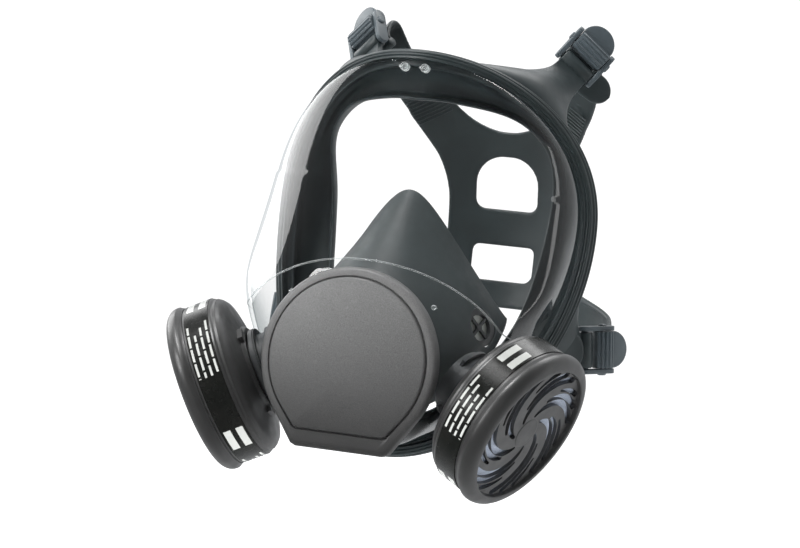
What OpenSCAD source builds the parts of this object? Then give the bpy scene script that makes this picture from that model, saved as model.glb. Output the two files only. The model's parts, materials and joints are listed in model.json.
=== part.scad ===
// Full face respirator: a wide clear lens in a rubber face seal, a nose cup, a front cover over
// the exhalation valve, two bayonet cartridges and a four point rubber head harness.
// Frame: +Z up, the mask looks along -Y, X is across the face and x = 0 is the mirror plane.
// Left and right are those of someone who faces the mask, so right is +X.

/* [Rim] */
// Half width of the lens rim at its widest level
rim_half_w = 79; // [76:0.5:82]
// Height of the rim's widest level
rim_mid_z = 30; // [26:0.5:34]
// Rise of the rim above its widest level
rim_rise = 75; // [72:0.5:78]
// Drop of the rim below its widest level
rim_drop = 115; // [112:0.5:118]
// Depth of the rim at the middle of the forehead
rim_brow_y = -11; // [-14:0.5:-8]
// Depth of the rim at the temples
rim_temple_y = 41; // [38:0.5:44]
// Depth of the rim under the chin
rim_chin_y = 0; // [-3:0.5:3]

/* [Lens] */
// Thickness of the lens
lens_t = 2.4; // [2:0.1:3]
// Depth of the lens front at z = 0
lens_front_y = -51.8; // [-54:0.1:-50]
// Distance of the flat cheek facets from the origin
facet_distance = 74.2; // [73:0.1:76]

/* [Front cover] */
// Outer radius of the front cover
cover_r = 44.5; // [43:0.5:46]
// Radius of the raised face of the cover
cover_face_r = 39.5; // [38:0.5:40]
// Height of the cover's centre
cover_z = -43.5; // [-45:0.5:-42]
// Depth of the cover's front face, which domes further out towards its middle
cover_front_y = -61; // [-62:0.5:-60.5]

/* [Cartridges] */
// Radius of the cartridge cap
cap_r = 42; // [40:0.5:43]
// Distance from the cheek facet to the cap's face
cap_front = 38.4; // [37:0.2:40]
// How far the cartridge axis points down
port_down = 27; // [25:0.5:29]
// How far the cartridge axis points forward
port_forward = 11.5; // [10:0.5:13]
// Outer radius of the port tube
port_r = 16; // [15:0.5:17]
// Number of groups of three slots in the cap's grille
slot_groups = 7; // [5:1:7]

/* [Harness] */
// Thickness of the rubber harness
harness_t = 2.6; // [2:0.1:3]
// Half width of the harness plate behind the head
plate_half_w = 31.5; // [30:0.5:34]
// Width of the lower harness straps
strap_w = 18; // [16:0.5:18]

/* [Buckles] */
// Inner width of a buckle between its side arms
buckle_w = 19.2; // [18.8:0.1:20]
// Radius of the ribbed cam
cam_r = 5.2; // [5:0.1:5.4]
// Radius of the pin that the cam turns on
pin_r = 1.3; // [1.1:0.05:1.5]

/* [Hidden] */
$fn = 64;

rubber = "#3a4446";
slate = "#5c656c";
charcoal = "#4a4a4a";
cover_grey = "#6b6a69";

// Running clearance of a cam on its pin
run = 0.05;

// Rim outline
brow_power = 2 / 2.2;
brow_depth_power = 1.5;
chin_depth_power = 2.5;

// Each row of the lens is measured by rays from an upright axis at this depth
ray_y = 24;
// How far the lens front comes back for each mm of height, and how far its sides lean out
lens_slope = 0.405;
lens_lean = 0.1;
// Reach of the lens past the rim at the sides, its growth below cheek_z, and its widest reach
lens_bulge = 4;
cheek_z = 45;
cheek_growth = 0.16;
cheek_most = 90;
// Half axes of the ellipse that rounds the cheeks
cheek_a = 105;
cheek_b = 76.5;
// Curve that closes the lens under the chin
chin_reach = 80;
chin_level = -25;
chin_drop = 61;
chin_power = 3;
// Higher joins the lens's faces with tighter bends
lens_join = 36;
// Rows run up to this rim angle above and below the level of the temples
lens_rows = 30;
lens_columns = 36;
lens_last_row = 86;

// Cartridge axis
port_point = [52.8, -26.4, -51.5];
port_axis = [
    cos(port_down) * cos(port_forward),
    -cos(port_down) * sin(port_forward),
    -sin(port_down)
];

// Housing behind the cover
housing_r = 31;
housing_back_y = -33;
lens_hole_r = 33;
port_hole_r = port_r + 0.6;

// Ellipsoid that the harness follows behind the head
head_centre = [0, 20, 10];
head_radii = [105, 141, 152];

// Tabs of the face seal
tab_t = 3.2;
tab_fan = 75;
tab_end_w = buckle_w - 1.4;

// Places of the right-hand buckles: centre of the base bar, then roll, pitch and turn
top_buckle_at = [56.4, 69.9, 114.7];
top_buckle_turn = [68, -49, 54.4];
low_buckle_at = [81, 59, -27.5];
low_buckle_turn = [88, -6, 57];
cam_x = 11;
cam_z = 0.5;
arm_t = 2.4;

// ---------------------------------------------------------------- curves and sweeps

function signed_power(v, p) = sign(v) * pow(abs(v), p);

// Point of the rim at angle t, seen from the front: 0 right temple, 90 brow, 270 chin
function rim(t) =
    let (c = cos(t), s = sin(t))
    s >= 0
        ? [
            rim_half_w * signed_power(c, brow_power),
            rim_brow_y + (rim_temple_y - rim_brow_y) * pow(abs(c), brow_depth_power),
            rim_mid_z + rim_rise * signed_power(s, brow_power)
        ]
        : [
            rim_half_w * c,
            rim_chin_y + (rim_temple_y - rim_chin_y) * pow(abs(c), chin_depth_power),
            rim_mid_z + rim_drop * s
        ];

// Unit vector that points out of the rim's outline at angle t
function rim_out(t) =
    let (d = rim(t + 1) - rim(t - 1), n = norm([d.x, d.z]))
    [d.z / n, 0, -d.x / n];

function rim_offset(t, out, back) = rim(t) + out * rim_out(t) + [0, back, 0];

// Faces of a tube with rows rings of columns points; closed joins the last ring to the first
function tube_faces(rows, columns, closed) =
    concat(
        [
            for (i = [0:rows - (closed ? 1 : 2)], j = [0:columns - 1])
            let (k = (i + 1) % rows, m = (j + 1) % columns)
            [i * columns + j, k * columns + j, k * columns + m, i * columns + m]
        ],
        closed ? [] : [
            [for (j = [0:columns - 1]) j],
            [for (j = [columns - 1:-1:0]) (rows - 1) * columns + j]
        ]
    );

// Faces of a plate made of two grids of rows by columns points, front grid first
function plate_faces(rows, columns) =
    let (back = rows * columns)
    concat(
        [
            for (i = [0:rows - 2], j = [0:columns - 2])
            let (a = i * columns + j, b = a + 1, c = a + columns + 1, d = a + columns)
            each [[a, b, c], [a, c, d], [back + a, back + c, back + b], [back + a, back + d, back + c]]
        ],
        [
            for (j = [0:columns - 2])
            let (a = j, b = (rows - 1) * columns + j)
            each [[a + 1, a, back + a, back + a + 1], [b, b + 1, back + b + 1, back + b]]
        ],
        [
            for (i = [0:rows - 2])
            let (a = i * columns, b = a + columns - 1)
            each [
                [a, a + columns, back + a + columns, back + a],
                [b + columns, b, back + b, back + b + columns]
            ]
        ]
    );

// Catmull-Rom value of a list of points or numbers at u, from 0 to 1
function smooth_at(list, u) =
    let (
        last = len(list) - 1,
        i = min(floor(u * last), last - 1),
        f = u * last - i,
        a = list[max(i - 1, 0)],
        b = list[i],
        c = list[i + 1],
        d = list[min(i + 2, last)]
    )
    0.5 * (
        2 * b + (c - a) * f
        + (2 * a - 5 * b + 4 * c - d) * f * f
        + (3 * b - a - 3 * c + d) * f * f * f
    );

function unit(v) = v / norm(v);

// Band of rubber through points, with a width and a width direction at each of them
module band(points, widths, across, thickness, steps = 18) {
    rings = [
        for (k = [0:steps])
        let (
            u = k / steps,
            p = smooth_at(points, u),
            ahead = smooth_at(points, min(u + 0.01, 1)) - smooth_at(points, max(u - 0.01, 0)),
            w = unit(smooth_at(across, u)),
            side = w * smooth_at(widths, u) / 2,
            up = unit(cross(ahead, w)) * thickness / 2
        )
        [p + side + up, p - side + up, p - side - up, p + side - up]
    ];
    polyhedron([for (r = rings) each r], tube_faces(steps + 1, 4, false));
}

// Turned solid about the mask's front-to-back line through the cover's centre: [radius, y] points
module turned(profile) {
    translate([0, 0, cover_z]) rotate([-90, 0, 0]) rotate_extrude() polygon(profile);
}

// Children drawn on one side: 1 is right, -1 is left
module on_side(side) {
    mirror([side < 0 ? 1 : 0, 0, 0]) children();
}

// Children drawn with +Z along the cartridge axis, from the cheek facet
module at_port(side) {
    on_side(side) translate(port_point) rotate([0, 90 + port_down, -port_forward]) children();
}

// ---------------------------------------------------------------- lens

// Distance along a ray at angle a to an ellipse with half axes across and forward
function ray_to_ellipse(centre_y, across, forward, a) =
    let (c = cos(a) / across, s = sin(a) / forward, d = (ray_y - centre_y) / forward)
    (s * d + sqrt(max(s * s * d * d - (c * c + s * s) * (d * d - 1), 0))) / (c * c + s * s);

function ray_to_facet(z, a) =
    (facet_distance - port_axis.y * ray_y - port_axis.z * z)
    / (port_axis.x * cos(a) - port_axis.y * sin(a));

function ray_to_chin(z, a) =
    z > chin_level
        ? 1000
        : let (low = (chin_level - z) / chin_drop)
          chin_reach * pow(max(1 - pow(low, chin_power), 0.001), 1 / chin_power) / max(sin(a), 0.001);

// Distance from the ray axis to the lens in the row of rim angle t, at angle a
function lens_reach(t, a) =
    let (
        edge = rim(t),
        front = lens_front_y + lens_slope * edge.z,
        lean = lens_lean * min(max(edge.z / cheek_z + 1, 0), 1),
        cheek = rim_half_w - 0.2 + cheek_growth * (cheek_z - edge.z),
        across = min(edge.z > cheek_z ? edge.x : cheek, cheek_most) + lens_bulge,
        reaches = [
            (edge.x + lean * (edge.y - ray_y)) / max(cos(a) - lean * sin(a), 0.0001),
            ray_to_ellipse(edge.y, across, edge.y - front, a),
            ray_to_ellipse(ray_y, cheek_a, cheek_b, a),
            ray_to_facet(edge.z, a),
            ray_to_chin(edge.z, a)
        ],
        shortest = min(reaches),
        sum = [for (r = reaches) pow(r / shortest, -lens_join)] * [1, 1, 1, 1, 1]
    )
    shortest * pow(sum, -1 / lens_join);

// Lens grid point: t is the row's rim angle, u runs from the right edge to the left edge
function lens_point(t, u, depth) =
    let (
        edge = rim(t),
        first = atan2(ray_y - edge.y, edge.x),
        a = first + (180 - 2 * first) * u,
        folded = a > 90 ? 180 - a : a,
        r = lens_reach(t, folded) - depth
    )
    [r * cos(a), ray_y - r * sin(a), edge.z];

module lens_shell() {
    rows = [for (i = [0:lens_rows]) lens_last_row * (2 * i / lens_rows - 1)];
    points = [
        for (depth = [0, lens_t], t = rows, j = [0:lens_columns]) lens_point(t, j / lens_columns, depth)
    ];
    polyhedron(points, plate_faces(lens_rows + 1, lens_columns + 1));
}

// Moulded peg on the lens face
module lens_peg(x, y, z) {
    translate([x, y, z]) rotate([90, 0, 0]) cylinder(r = 1.6, h = 3.4, $fn = 20);
}

module lens() {
    color("#dfe8ea", 0.3) {
        difference() {
            lens_shell();
            translate([0, 0, cover_z]) rotate([90, 0, 0]) cylinder(r = lens_hole_r, h = 90);
            for (side = [-1, 1]) at_port(side) translate([0, 0, -30]) cylinder(r = port_hole_r, h = 60);
        }
        for (x = [-5.3, 5.3]) lens_peg(x, -10.5, 101);
    }
}

// ---------------------------------------------------------------- face seal

lip_most = 21.5;
lip_corner_cut = 11.5;
lip_corner_t = 38;
lip_chin_cut = 7;
seal_depth = 19.5;
seal_chin_depth = 7;

// How much of the chin's shape the seal takes at rim angle t: 0 above the temples, 1 under the chin
function chin_share(t) = pow(max(-sin(t), 0), 3);

// Width of the seal's inner lip at rim angle t: narrower in the chin and in the brow's corners
function lip_width(t) =
    let (
        side = t > 270 ? t - 360 : t > 90 ? 180 - t : t,
        spread = side < lip_corner_t ? 22 : 42,
        corner_share = exp(-pow((side - lip_corner_t) / spread, 2))
    )
    lip_most - lip_chin_cut * chin_share(t) - lip_corner_cut * corner_share;

// Section of the seal: [out of the rim, back from the rim], with a reflex lip that turns inwards
function seal_section(t) =
    let (lip = lip_width(t), deep = seal_depth + seal_chin_depth * chin_share(t))
    [
        [0.6, -3.2], [3.2, -3.6], [4.6, -2.2], [3.9, -0.6], [5.2, 1], [4.2, 2.8], [5.4, 4.6],
        [4.2, 6.4], [4.4, 8.6], [2, 12],
        [-2.5, deep - 3.6], [-lip * 0.45, deep - 0.6], [-lip * 0.74, deep],
        [-lip * 0.92, deep - 2.4], [-lip - 0.4, deep - 8],
        [-lip - 0.6, deep - 12], [-lip + 0.5, deep - 12.3],
        [-lip * 0.95 + 0.9, deep - 8], [-lip * 0.88 + 0.4, deep - 4.2], [-lip * 0.75, deep - 2.4],
        [-lip * 0.45, deep - 4.2], [-4.2, deep - 8.2], [-2.9, 8], [-3, 3.2], [0.6, 3]
    ];

module seal_ring() {
    stations = 72;
    rings = [
        for (i = [0:stations - 1])
        let (t = 360 * i / stations)
        [for (p = seal_section(t)) rim_offset(t, p[0], p[1])]
    ];
    polyhedron([for (r = rings) each r], tube_faces(stations, len(seal_section(0)), true));
}

// Local buckle axes in the mask's frame, for the right-hand side
function turn_x(v, a) = [v.x, v.y * cos(a) - v.z * sin(a), v.y * sin(a) + v.z * cos(a)];
function turn_y(v, a) = [v.x * cos(a) + v.z * sin(a), v.y, -v.x * sin(a) + v.z * cos(a)];
function turn_z(v, a) = [v.x * cos(a) - v.y * sin(a), v.x * sin(a) + v.y * cos(a), v.z];
function turned_by(v, turn) = turn_z(turn_y(turn_x(v, turn.x), turn.y), turn.z);
function in_buckle(at, turn, v) = at + turned_by(v, turn);

// Rubber sleeve round the base bar of a buckle
module sleeve(at, turn) {
    translate(at) rotate(turn) rotate([90, 0, 0])
        cylinder(r = 3.9, h = buckle_w - 1.4, center = true, $fn = 32);
}

module bar_hole(at, turn) {
    translate(at) rotate(turn) rotate([90, 0, 0]) cylinder(r = 2.15, h = 60, center = true, $fn = 32);
}

// Point of a tab's middle sheet: it leaves the rim between two rim angles and narrows to a base bar
function tab_point(at, turn, low_t, high_t, u, v) =
    let (
        t = low_t + (high_t - low_t) * u,
        fan = tab_fan * (2 * u - 1),
        root = rim_offset(t, 1.5, 6),
        pull = turned_by([1, 0, 0], turn),
        along = unit(rim(t + 1) - rim(t - 1)),
        leave = unit(pull * cos(fan) - along * sin(fan)),
        end = in_buckle(at, turn, [-2.5, (u - 0.5) * tab_end_w, 0]),
        reach = norm(end - root),
        w = v * v * (3 - 2 * v)
    )
    root * (1 - w) + end * w
    + leave * reach * 1.1 * v * (1 - v) * (1 - v)
    - pull * reach * 0.8 * v * v * (1 - v);

// Unit normal of a tab's middle sheet
function tab_normal(at, turn, low_t, high_t, u, v) =
    let (
        step = 0.01,
        before_u = tab_point(at, turn, low_t, high_t, u - step, v),
        after_u = tab_point(at, turn, low_t, high_t, u + step, v),
        before_v = tab_point(at, turn, low_t, high_t, u, v - step),
        after_v = tab_point(at, turn, low_t, high_t, u, v + step)
    )
    unit(cross(after_u - before_u, after_v - before_v));

// Rubber sheet from the rim to a buckle, with the sleeve that holds the buckle's base bar
module tab(at, turn, low_t, high_t) {
    cells = 12;
    points = [
        for (face = [-1, 1], i = [0:cells], j = [0:cells])
        let (v = i / cells, u = j / cells)
        tab_point(at, turn, low_t, high_t, u, v)
            + face * tab_t / 2 * tab_normal(at, turn, low_t, high_t, u, v)
    ];
    polyhedron(points, plate_faces(cells + 1, cells + 1));
    sleeve(at, turn);
}

// Round pad that lies over the base of a low buckle
module low_pad() {
    translate(low_buckle_at) rotate(low_buckle_turn) translate([-14, 0, 1.8]) cylinder(r = 10.7, h = 2.4);
}

module face_seal() {
    color(rubber)
    difference() {
        union() {
            seal_ring();
            for (side = [-1, 1]) on_side(side) {
                tab(top_buckle_at, top_buckle_turn, 33, 80);
                tab(low_buckle_at, low_buckle_turn, -42, -13);
                low_pad();
            }
        }
        for (side = [-1, 1]) on_side(side) {
            bar_hole(top_buckle_at, top_buckle_turn);
            bar_hole(low_buckle_at, low_buckle_turn);
        }
    }
}

// ---------------------------------------------------------------- nose cup

cup_front_y = -36.4;
cup_collar_r = 28.6;
cup_wall = 1.8;
cup_half_w = 48;
cup_back_y = 30;
// The bridge of the nose: its height, how far forward it comes, and how roundly it turns over
bridge_z = 42;
bridge_forward = 29;
bridge_round = 20;
// Level of the cup's widest part, and how far the chin end drops below it
cup_wide_z = -16;
cup_chin_drop = 39;

// Check valves in the cup's cheeks
valve_seat_r = 8;
seat_flange_r = 9.6;
seat_flange_s = 1.2;

// Rear edge of the nose cup, which rests on the face, at angle a about the housing
function cup_edge(a) =
    let (
        c = cos(a),
        s = sin(a),
        x = cup_half_w * signed_power(c, 1.2),
        peak_z = bridge_z + bridge_round,
        rise = peak_z - cup_wide_z,
        slope = sqrt(rise * rise - bridge_round * bridge_round) / cup_half_w
    )
    s >= 0
        ? [x, cup_back_y - bridge_forward * pow(s, 1.55), peak_z - norm([slope * x, bridge_round])]
        : [cup_half_w * signed_power(c, 1.5), cup_back_y - 10 * s * s, cup_wide_z + cup_chin_drop * s];

function cup_collar(a, r) = [r * cos(a), cup_front_y, cover_z + r * sin(a)];

// Point of the cup's wall: u runs from the collar to the rear edge
function cup_point(a, u, inset) =
    let (
        front = cup_collar(a, cup_collar_r + 3.2 - inset),
        edge = cup_edge(a),
        swell = 9 * sin(180 * u) * (0.15 + 0.85 * pow(cos(a), 2)),
        out = unit([edge.x, 0, edge.z + 20])
    )
    front + (edge - front) * u + out * (swell - inset * u);

module nose_cup() {
    turns = 40;
    steps = 8;
    rings = [
        for (i = [0:turns - 1])
        let (a = 360 * i / turns)
        concat(
            [for (k = [0:steps]) cup_point(a, k / steps, 0)],
            [for (k = [steps:-1:0]) cup_point(a, k / steps, cup_wall)]
        )
    ];
    color(rubber)
    difference() {
        polyhedron([for (r = rings) each r], tube_faces(turns, 2 * steps + 2, true));
        for (side = [-1, 1]) at_cup_valve(side) {
            cylinder(r = valve_seat_r + 0.3, h = 30, center = true);
            translate([0, 0, seat_flange_s - 0.1]) cylinder(r = seat_flange_r + 0.3, h = 6);
        }
    }
}

// Children drawn with +Z out of the side of the nose cup, at the valve's centre
module at_cup_valve(side) {
    on_side(side) translate([42.5, 1, -22]) rotate([0, 78, -28]) children();
}

module cup_valve_seat(side) {
    color(charcoal) at_cup_valve(side) {
        difference() {
            union() {
                translate([0, 0, -3.6]) cylinder(r = valve_seat_r, h = 5.6);
                translate([0, 0, seat_flange_s]) cylinder(r = seat_flange_r, h = 1.2);
            }
            translate([0, 0, -4]) cylinder(r = 6.6, h = 8);
        }
        translate([0, 0, 0.4]) cylinder(r = 1.6, h = 1.6);
        for (a = [45:90:315]) rotate(a) translate([1, -0.7, 0.4]) cube([6, 1.4, 1.4]);
    }
}

module cup_valve_flap(side) {
    color("#c9cfc8") at_cup_valve(side) translate([0, 0, -0.4]) cylinder(r = 6.3, h = 0.7);
}

// ---------------------------------------------------------------- front assembly

module front_housing() {
    color(charcoal) turned([
        [26.5, housing_back_y], [cup_collar_r - 0.2, housing_back_y], [cup_collar_r - 0.2, -37],
        [housing_r, -37], [housing_r, -53.4], [37.5, -53.4], [37.5, -57],
        [27.5, -57], [27.5, -41], [26.5, -41]
    ]);
}

module housing_gasket() {
    color("#22282a") turned([[housing_r + 0.1, -52.9], [lens_hole_r - 0.1, -52.9],
        [lens_hole_r - 0.1, -46.5], [housing_r + 0.1, -46.5]]);
}

module housing_ring() {
    color(charcoal) turned([[housing_r + 0.1, -45.6], [lens_hole_r - 0.1, -45.6],
        [lens_hole_r - 0.1, -40], [housing_r + 0.1, -40]]);
}

module exhalation_seat() {
    color(charcoal) translate([0, 0, cover_z]) rotate([90, 0, 0]) {
        difference() {
            translate([0, 0, 44]) cylinder(r = 27.3, h = 4);
            translate([0, 0, 43]) cylinder(r = 20, h = 6);
        }
        translate([0, 0, 44]) cylinder(r = 3.4, h = 2.6);
        for (a = [0:60:300]) rotate(a) translate([2.6, -1.1, 44]) cube([18.4, 2.2, 2.6]);
    }
}

module exhalation_flap() {
    color("#b8beb6") translate([0, 0, cover_z]) rotate([90, 0, 0]) {
        translate([0, 0, 48.3]) cylinder(r = 23.5, h = 0.9);
    }
}

// Outline of the cover: a disc with straight sides that run down to a flat bottom
function cover_outline(r, bottom_half, bottom_z) =
    concat(
        [for (a = [-36:6:216]) [r * cos(a), cover_z + r * sin(a)]],
        [[-bottom_half, bottom_z], [bottom_half, bottom_z]]
    );

// Extrusion of an [x, z] outline from y = front to y = back
module face_extrude(front, back) {
    translate([0, back, 0]) rotate([90, 0, 0]) linear_extrude(back - front) children();
}

module front_cover() {
    skirt_back = -53.2;
    shoulder = -59.6;
    wall = 2;
    dome = 3.5;
    round_r = cover_face_r * cover_face_r / (2 * dome);
    color(cover_grey) difference() {
        union() {
            face_extrude(shoulder, skirt_back) polygon(cover_outline(cover_r, 24, -87));
            intersection() {
                face_extrude(cover_front_y - dome, shoulder)
                    polygon(cover_outline(cover_face_r, 23, -78));
                translate([0, cover_front_y - dome + round_r, cover_z - 2]) sphere(round_r, $fn = 200);
            }
        }
        face_extrude(shoulder + wall - 0.4, skirt_back + 1)
            polygon(cover_outline(cover_r - wall, 22.6, -90));
    }
}

// ---------------------------------------------------------------- ports

module port(side) {
    color(charcoal) at_port(side) {
        difference() {
            union() {
                translate([0, 0, -9]) cylinder(r = port_r, h = 16);
                translate([0, 0, 1.4]) cylinder(r = 19.5, h = 2);
                translate([0, 0, -6.5]) intersection() {
                    cylinder(r = 18, h = 1.8);
                    translate([-20, -12.5, 0]) cube([40, 40, 1.8]);
                }
            }
            translate([0, 0, -10]) cylinder(r = 12.6, h = 20);
        }
        translate([0, 0, -4.4]) cylinder(r = 2.2, h = 1.6);
        for (a = [0:60:300]) rotate(a) translate([1.6, -0.8, -4.4]) cube([11.4, 1.6, 1.6]);
        for (a = [0:120:240]) rotate(a) translate([port_r - 1, -3, 5]) cube([2.6, 6, 1.6]);
    }
}

module port_gasket(side) {
    color("#22282a") at_port(side) difference() {
        translate([0, 0, 0.5]) cylinder(r = 19.2, h = 0.8);
        cylinder(r = port_r + 0.1, h = 3);
    }
}

module inhalation_flap(side) {
    color("#c9cfc8") at_port(side) translate([0, 0, -5.4]) cylinder(r = 12.1, h = 0.8);
}

// ---------------------------------------------------------------- cartridges

body_r = cap_r - 1.8;
body_front = cap_front - 9.4;
slot_end_r = 34.2;

module cartridge_body(side) {
    color(charcoal) at_port(side) {
        rotate_extrude() polygon([
            [18.4, 4.4], [21.4, 4.4], [22.4, 6], [33, 8.6], [body_r - 2.6, 11.4], [body_r - 0.6, 12],
            [body_r - 0.6, 14], [body_r, 14.6], [body_r, body_front], [body_r - 1.8, body_front],
            [body_r - 1.8, 13.4], [19.5, 13.4], [19.5, 11], [14, 11], [14, 9.6], [18.4, 9.6]
        ]);
    }
}

module cartridge_seal(side) {
    color("#22282a") at_port(side) difference() {
        translate([0, 0, 7.4]) cylinder(r = 16.4, h = 2);
        translate([0, 0, 7]) cylinder(r = 13.2, h = 3);
    }
}

module cartridge_label(side) {
    color("#141614") at_port(side) difference() {
        translate([0, 0, 15.4]) cylinder(r = body_r + 0.5, h = 12.6);
        translate([0, 0, 15]) cylinder(r = body_r + 0.05, h = 14);
    }
}

module sorbent_bed(side) {
    color("#2b2b2b") at_port(side) translate([0, 0, 14]) cylinder(r = body_r - 2.2, h = 12.4);
}

module filter_pad(side) {
    back = 26.8;
    color("#dfe5ee") at_port(side) translate([0, 0, back])
        cylinder(r = body_r - 2.2, h = cap_front - 5 - back);
}

// One curved slot of the grille: a spiral that turns by swirl degrees for each mm of radius
swirl = 3.4;
function swirl_point(r, half) =
    let (a = swirl * (r - slot_end_r), way = a + atan(r * swirl * PI / 180))
    [r * cos(a) - half * sin(way), r * sin(a) + half * cos(way)];
function slot_outline(start_r, half) =
    let (n = 6, radii = [for (k = [0:n]) start_r + (slot_end_r - start_r) * k / n])
    concat(
        [for (r = radii) swirl_point(r, -half)],
        [for (k = [n:-1:0]) swirl_point(radii[k], half)]
    );

// Slots of a group: start radius, turn back from the first slot, half width
slot_kinds = [[9.5, 0, 1.5], [18, 14.7, 1.35], [26, 29, 1.25]];

module cartridge_cap(side) {
    rim = 5.4;
    outer = [
        for (a = [0:15:90]) [cap_r - rim + rim * cos(a), cap_front - rim + rim * sin(a)]
    ];
    color(charcoal) at_port(side) difference() {
        rotate_extrude() polygon(concat(
            [[0, cap_front - 4.4], [body_r - 1.6, cap_front - 4.4], [body_r - 1.6, body_front + 0.2],
                [cap_r - 0.6, body_front + 0.2], [cap_r, body_front + 1]],
            outer,
            [[cap_r - rim - 0.8, cap_front - 2.4], [0, cap_front - 2.4]]
        ));
        mirror([0, side > 0 ? 1 : 0, 0]) for (k = [0:slot_groups - 1], s = slot_kinds)
            rotate(360 * k / slot_groups - s[1]) translate([0, 0, cap_front - 6]) linear_extrude(6)
                polygon(slot_outline(s[0], s[2]));
    }
}

// ---------------------------------------------------------------- harness

function head_y(x, z) =
    let (across = x / head_radii.x, up = (z - head_centre.z) / head_radii.z)
    head_centre.y + head_radii.y * sqrt(1 - across * across - up * up);

function on_head(x, z) = [x, head_y(x, z), z];

// Curved slab of rubber behind the head
module head_slab() {
    rows = 24;
    columns = 24;
    grid = [
        for (offset = [-harness_t / 2, harness_t / 2], i = [0:rows], j = [0:columns])
        let (z = -24 + 130 * i / rows, x = 54 - 108 * j / columns)
        [x, head_y(x, z) + offset, z]
    ];
    polyhedron(grid, plate_faces(rows + 1, columns + 1));
}

// Box with its own corner radius at the bottom and at the top
module rounded_box(half_w, low, high, low_r, high_r) {
    hull() for (side = [-1, 1]) {
        translate([side * (half_w - low_r), low + low_r]) circle(low_r, $fn = 24);
        translate([side * (half_w - high_r), high - high_r]) circle(high_r, $fn = 24);
    }
}

module plate_outline() {
    difference() {
        union() {
            rounded_box(plate_half_w, -12, 98, 8, 8);
            for (side = [-1, 1]) hull() {
                translate([side * 22, 62]) circle(10, $fn = 24);
                translate([side * 39, 90]) circle(11, $fn = 24);
            }
        }
        rounded_box(plate_half_w - 14, 41, 69, 5, 15);
        rounded_box(plate_half_w - 14, 2.5, 21.5, 5, 3.5);
        translate([0, 118]) circle(36, $fn = 60);
    }
}

module top_strap() {
    across = turned_by([0, -1, 0], top_buckle_turn);
    band(
        [
            on_head(30, 76), on_head(39, 90), on_head(45, 101), [51, 102, 112],
            in_buckle(top_buckle_at, top_buckle_turn, [19, 0, -13]),
            in_buckle(top_buckle_at, top_buckle_turn, [11, 0, -7.6]),
            in_buckle(top_buckle_at, top_buckle_turn, [4.5, 0, -7.4])
        ],
        [20, 21, 26, 20, 18, 18, 18],
        [[0.8, -0.1, -0.59], [0.8, -0.05, -0.59], [0.8, 0.1, -0.56], across, across, across, across],
        harness_t, 24
    );
}

// Fold of a top strap where its free end turns back
module top_fold() {
    translate(top_buckle_at) rotate(top_buckle_turn) cross_pin(3.6, -8.9, 2.8, 17);
}

// Free end of a top strap, which hangs out beside the buckle
module top_tail() {
    upright = [0.25, 0.36, 0.9];
    band(
        [[50, 79.5, 114], [55.5, 83.5, 110.4], [61, 87.5, 106.8], [66, 91.2, 103.6], [67.6, 92.3, 102.6]],
        [15, 15, 15.5, 12, 6],
        [upright, upright, upright, upright, upright],
        harness_t, 14
    );
}

module low_strap() {
    across = turned_by([0, 1, 0], low_buckle_turn);
    band(
        [
            on_head(26, -2), on_head(52, -10), on_head(76, -18),
            in_buckle(low_buckle_at, low_buckle_turn, [22, 0, -10]),
            in_buckle(low_buckle_at, low_buckle_turn, [12, 0, -6.6]),
            in_buckle(low_buckle_at, low_buckle_turn, [4.5, 0, -6.6])
        ],
        [strap_w, strap_w, strap_w, strap_w, strap_w, strap_w],
        [[0, 0, 1], [0, 0, 1], across, across, across, across],
        harness_t, 24
    );
}

module harness() {
    color(rubber) {
        intersection() {
            head_slab();
            face_extrude(60, 200) plate_outline();
        }
        for (side = [-1, 1]) on_side(side) {
            top_strap();
            top_fold();
            top_tail();
            low_strap();
        }
    }
}

// ---------------------------------------------------------------- buckles

module at_buckle(side, top) {
    on_side(side) translate(top ? top_buckle_at : low_buckle_at)
        rotate(top ? top_buckle_turn : low_buckle_turn) children();
}

module cross_pin(x, z, r, length) {
    translate([x, 0, z]) rotate([90, 0, 0]) cylinder(r = r, h = length, center = true, $fn = 32);
}

module side_arm() {
    rotate([90, 0, 0]) linear_extrude(arm_t, center = true) hull() {
        circle(3.5, $fn = 32);
        translate([cam_x + 3.6, cam_z]) circle(3.5, $fn = 32);
    }
}

module buckle_frame(side, top) {
    color(slate) at_buckle(side, top) {
        cross_pin(0, 0, 2, buckle_w + 1);
        difference() {
            for (y = [-1, 1]) translate([0, y * (buckle_w + arm_t) / 2, 0]) side_arm();
            cross_pin(cam_x, cam_z, pin_r + 0.02, 60);
        }
    }
}

module buckle_lever(side, top) {
    width = buckle_w - 0.8;
    ribs = 6;
    color(slate) at_buckle(side, top) difference() {
        union() {
            cross_pin(cam_x, cam_z, cam_r, width);
            for (k = [0:ribs - 1]) {
                a = 30 + 120 * k / (ribs - 1);
                cross_pin(cam_x + cam_r * cos(a), cam_z + cam_r * sin(a), 0.8, width);
            }
            translate([cam_x, 0, cam_z - 1.2]) linear_extrude(2.4) {
                translate([0, -width / 2]) square([6, width]);
                translate([6, 0]) intersection() {
                    circle(width / 2 + 0.4);
                    translate([0, -width / 2]) square([width, width]);
                }
            }
        }
        cross_pin(cam_x, cam_z, pin_r + run, 60);
    }
}

module lever_pins() {
    color("silver") for (side = [-1, 1], top = [false, true]) at_buckle(side, top)
        cross_pin(cam_x, cam_z, pin_r, buckle_w + 2 * arm_t + 1.2);
}

// ---------------------------------------------------------------- the model

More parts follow.
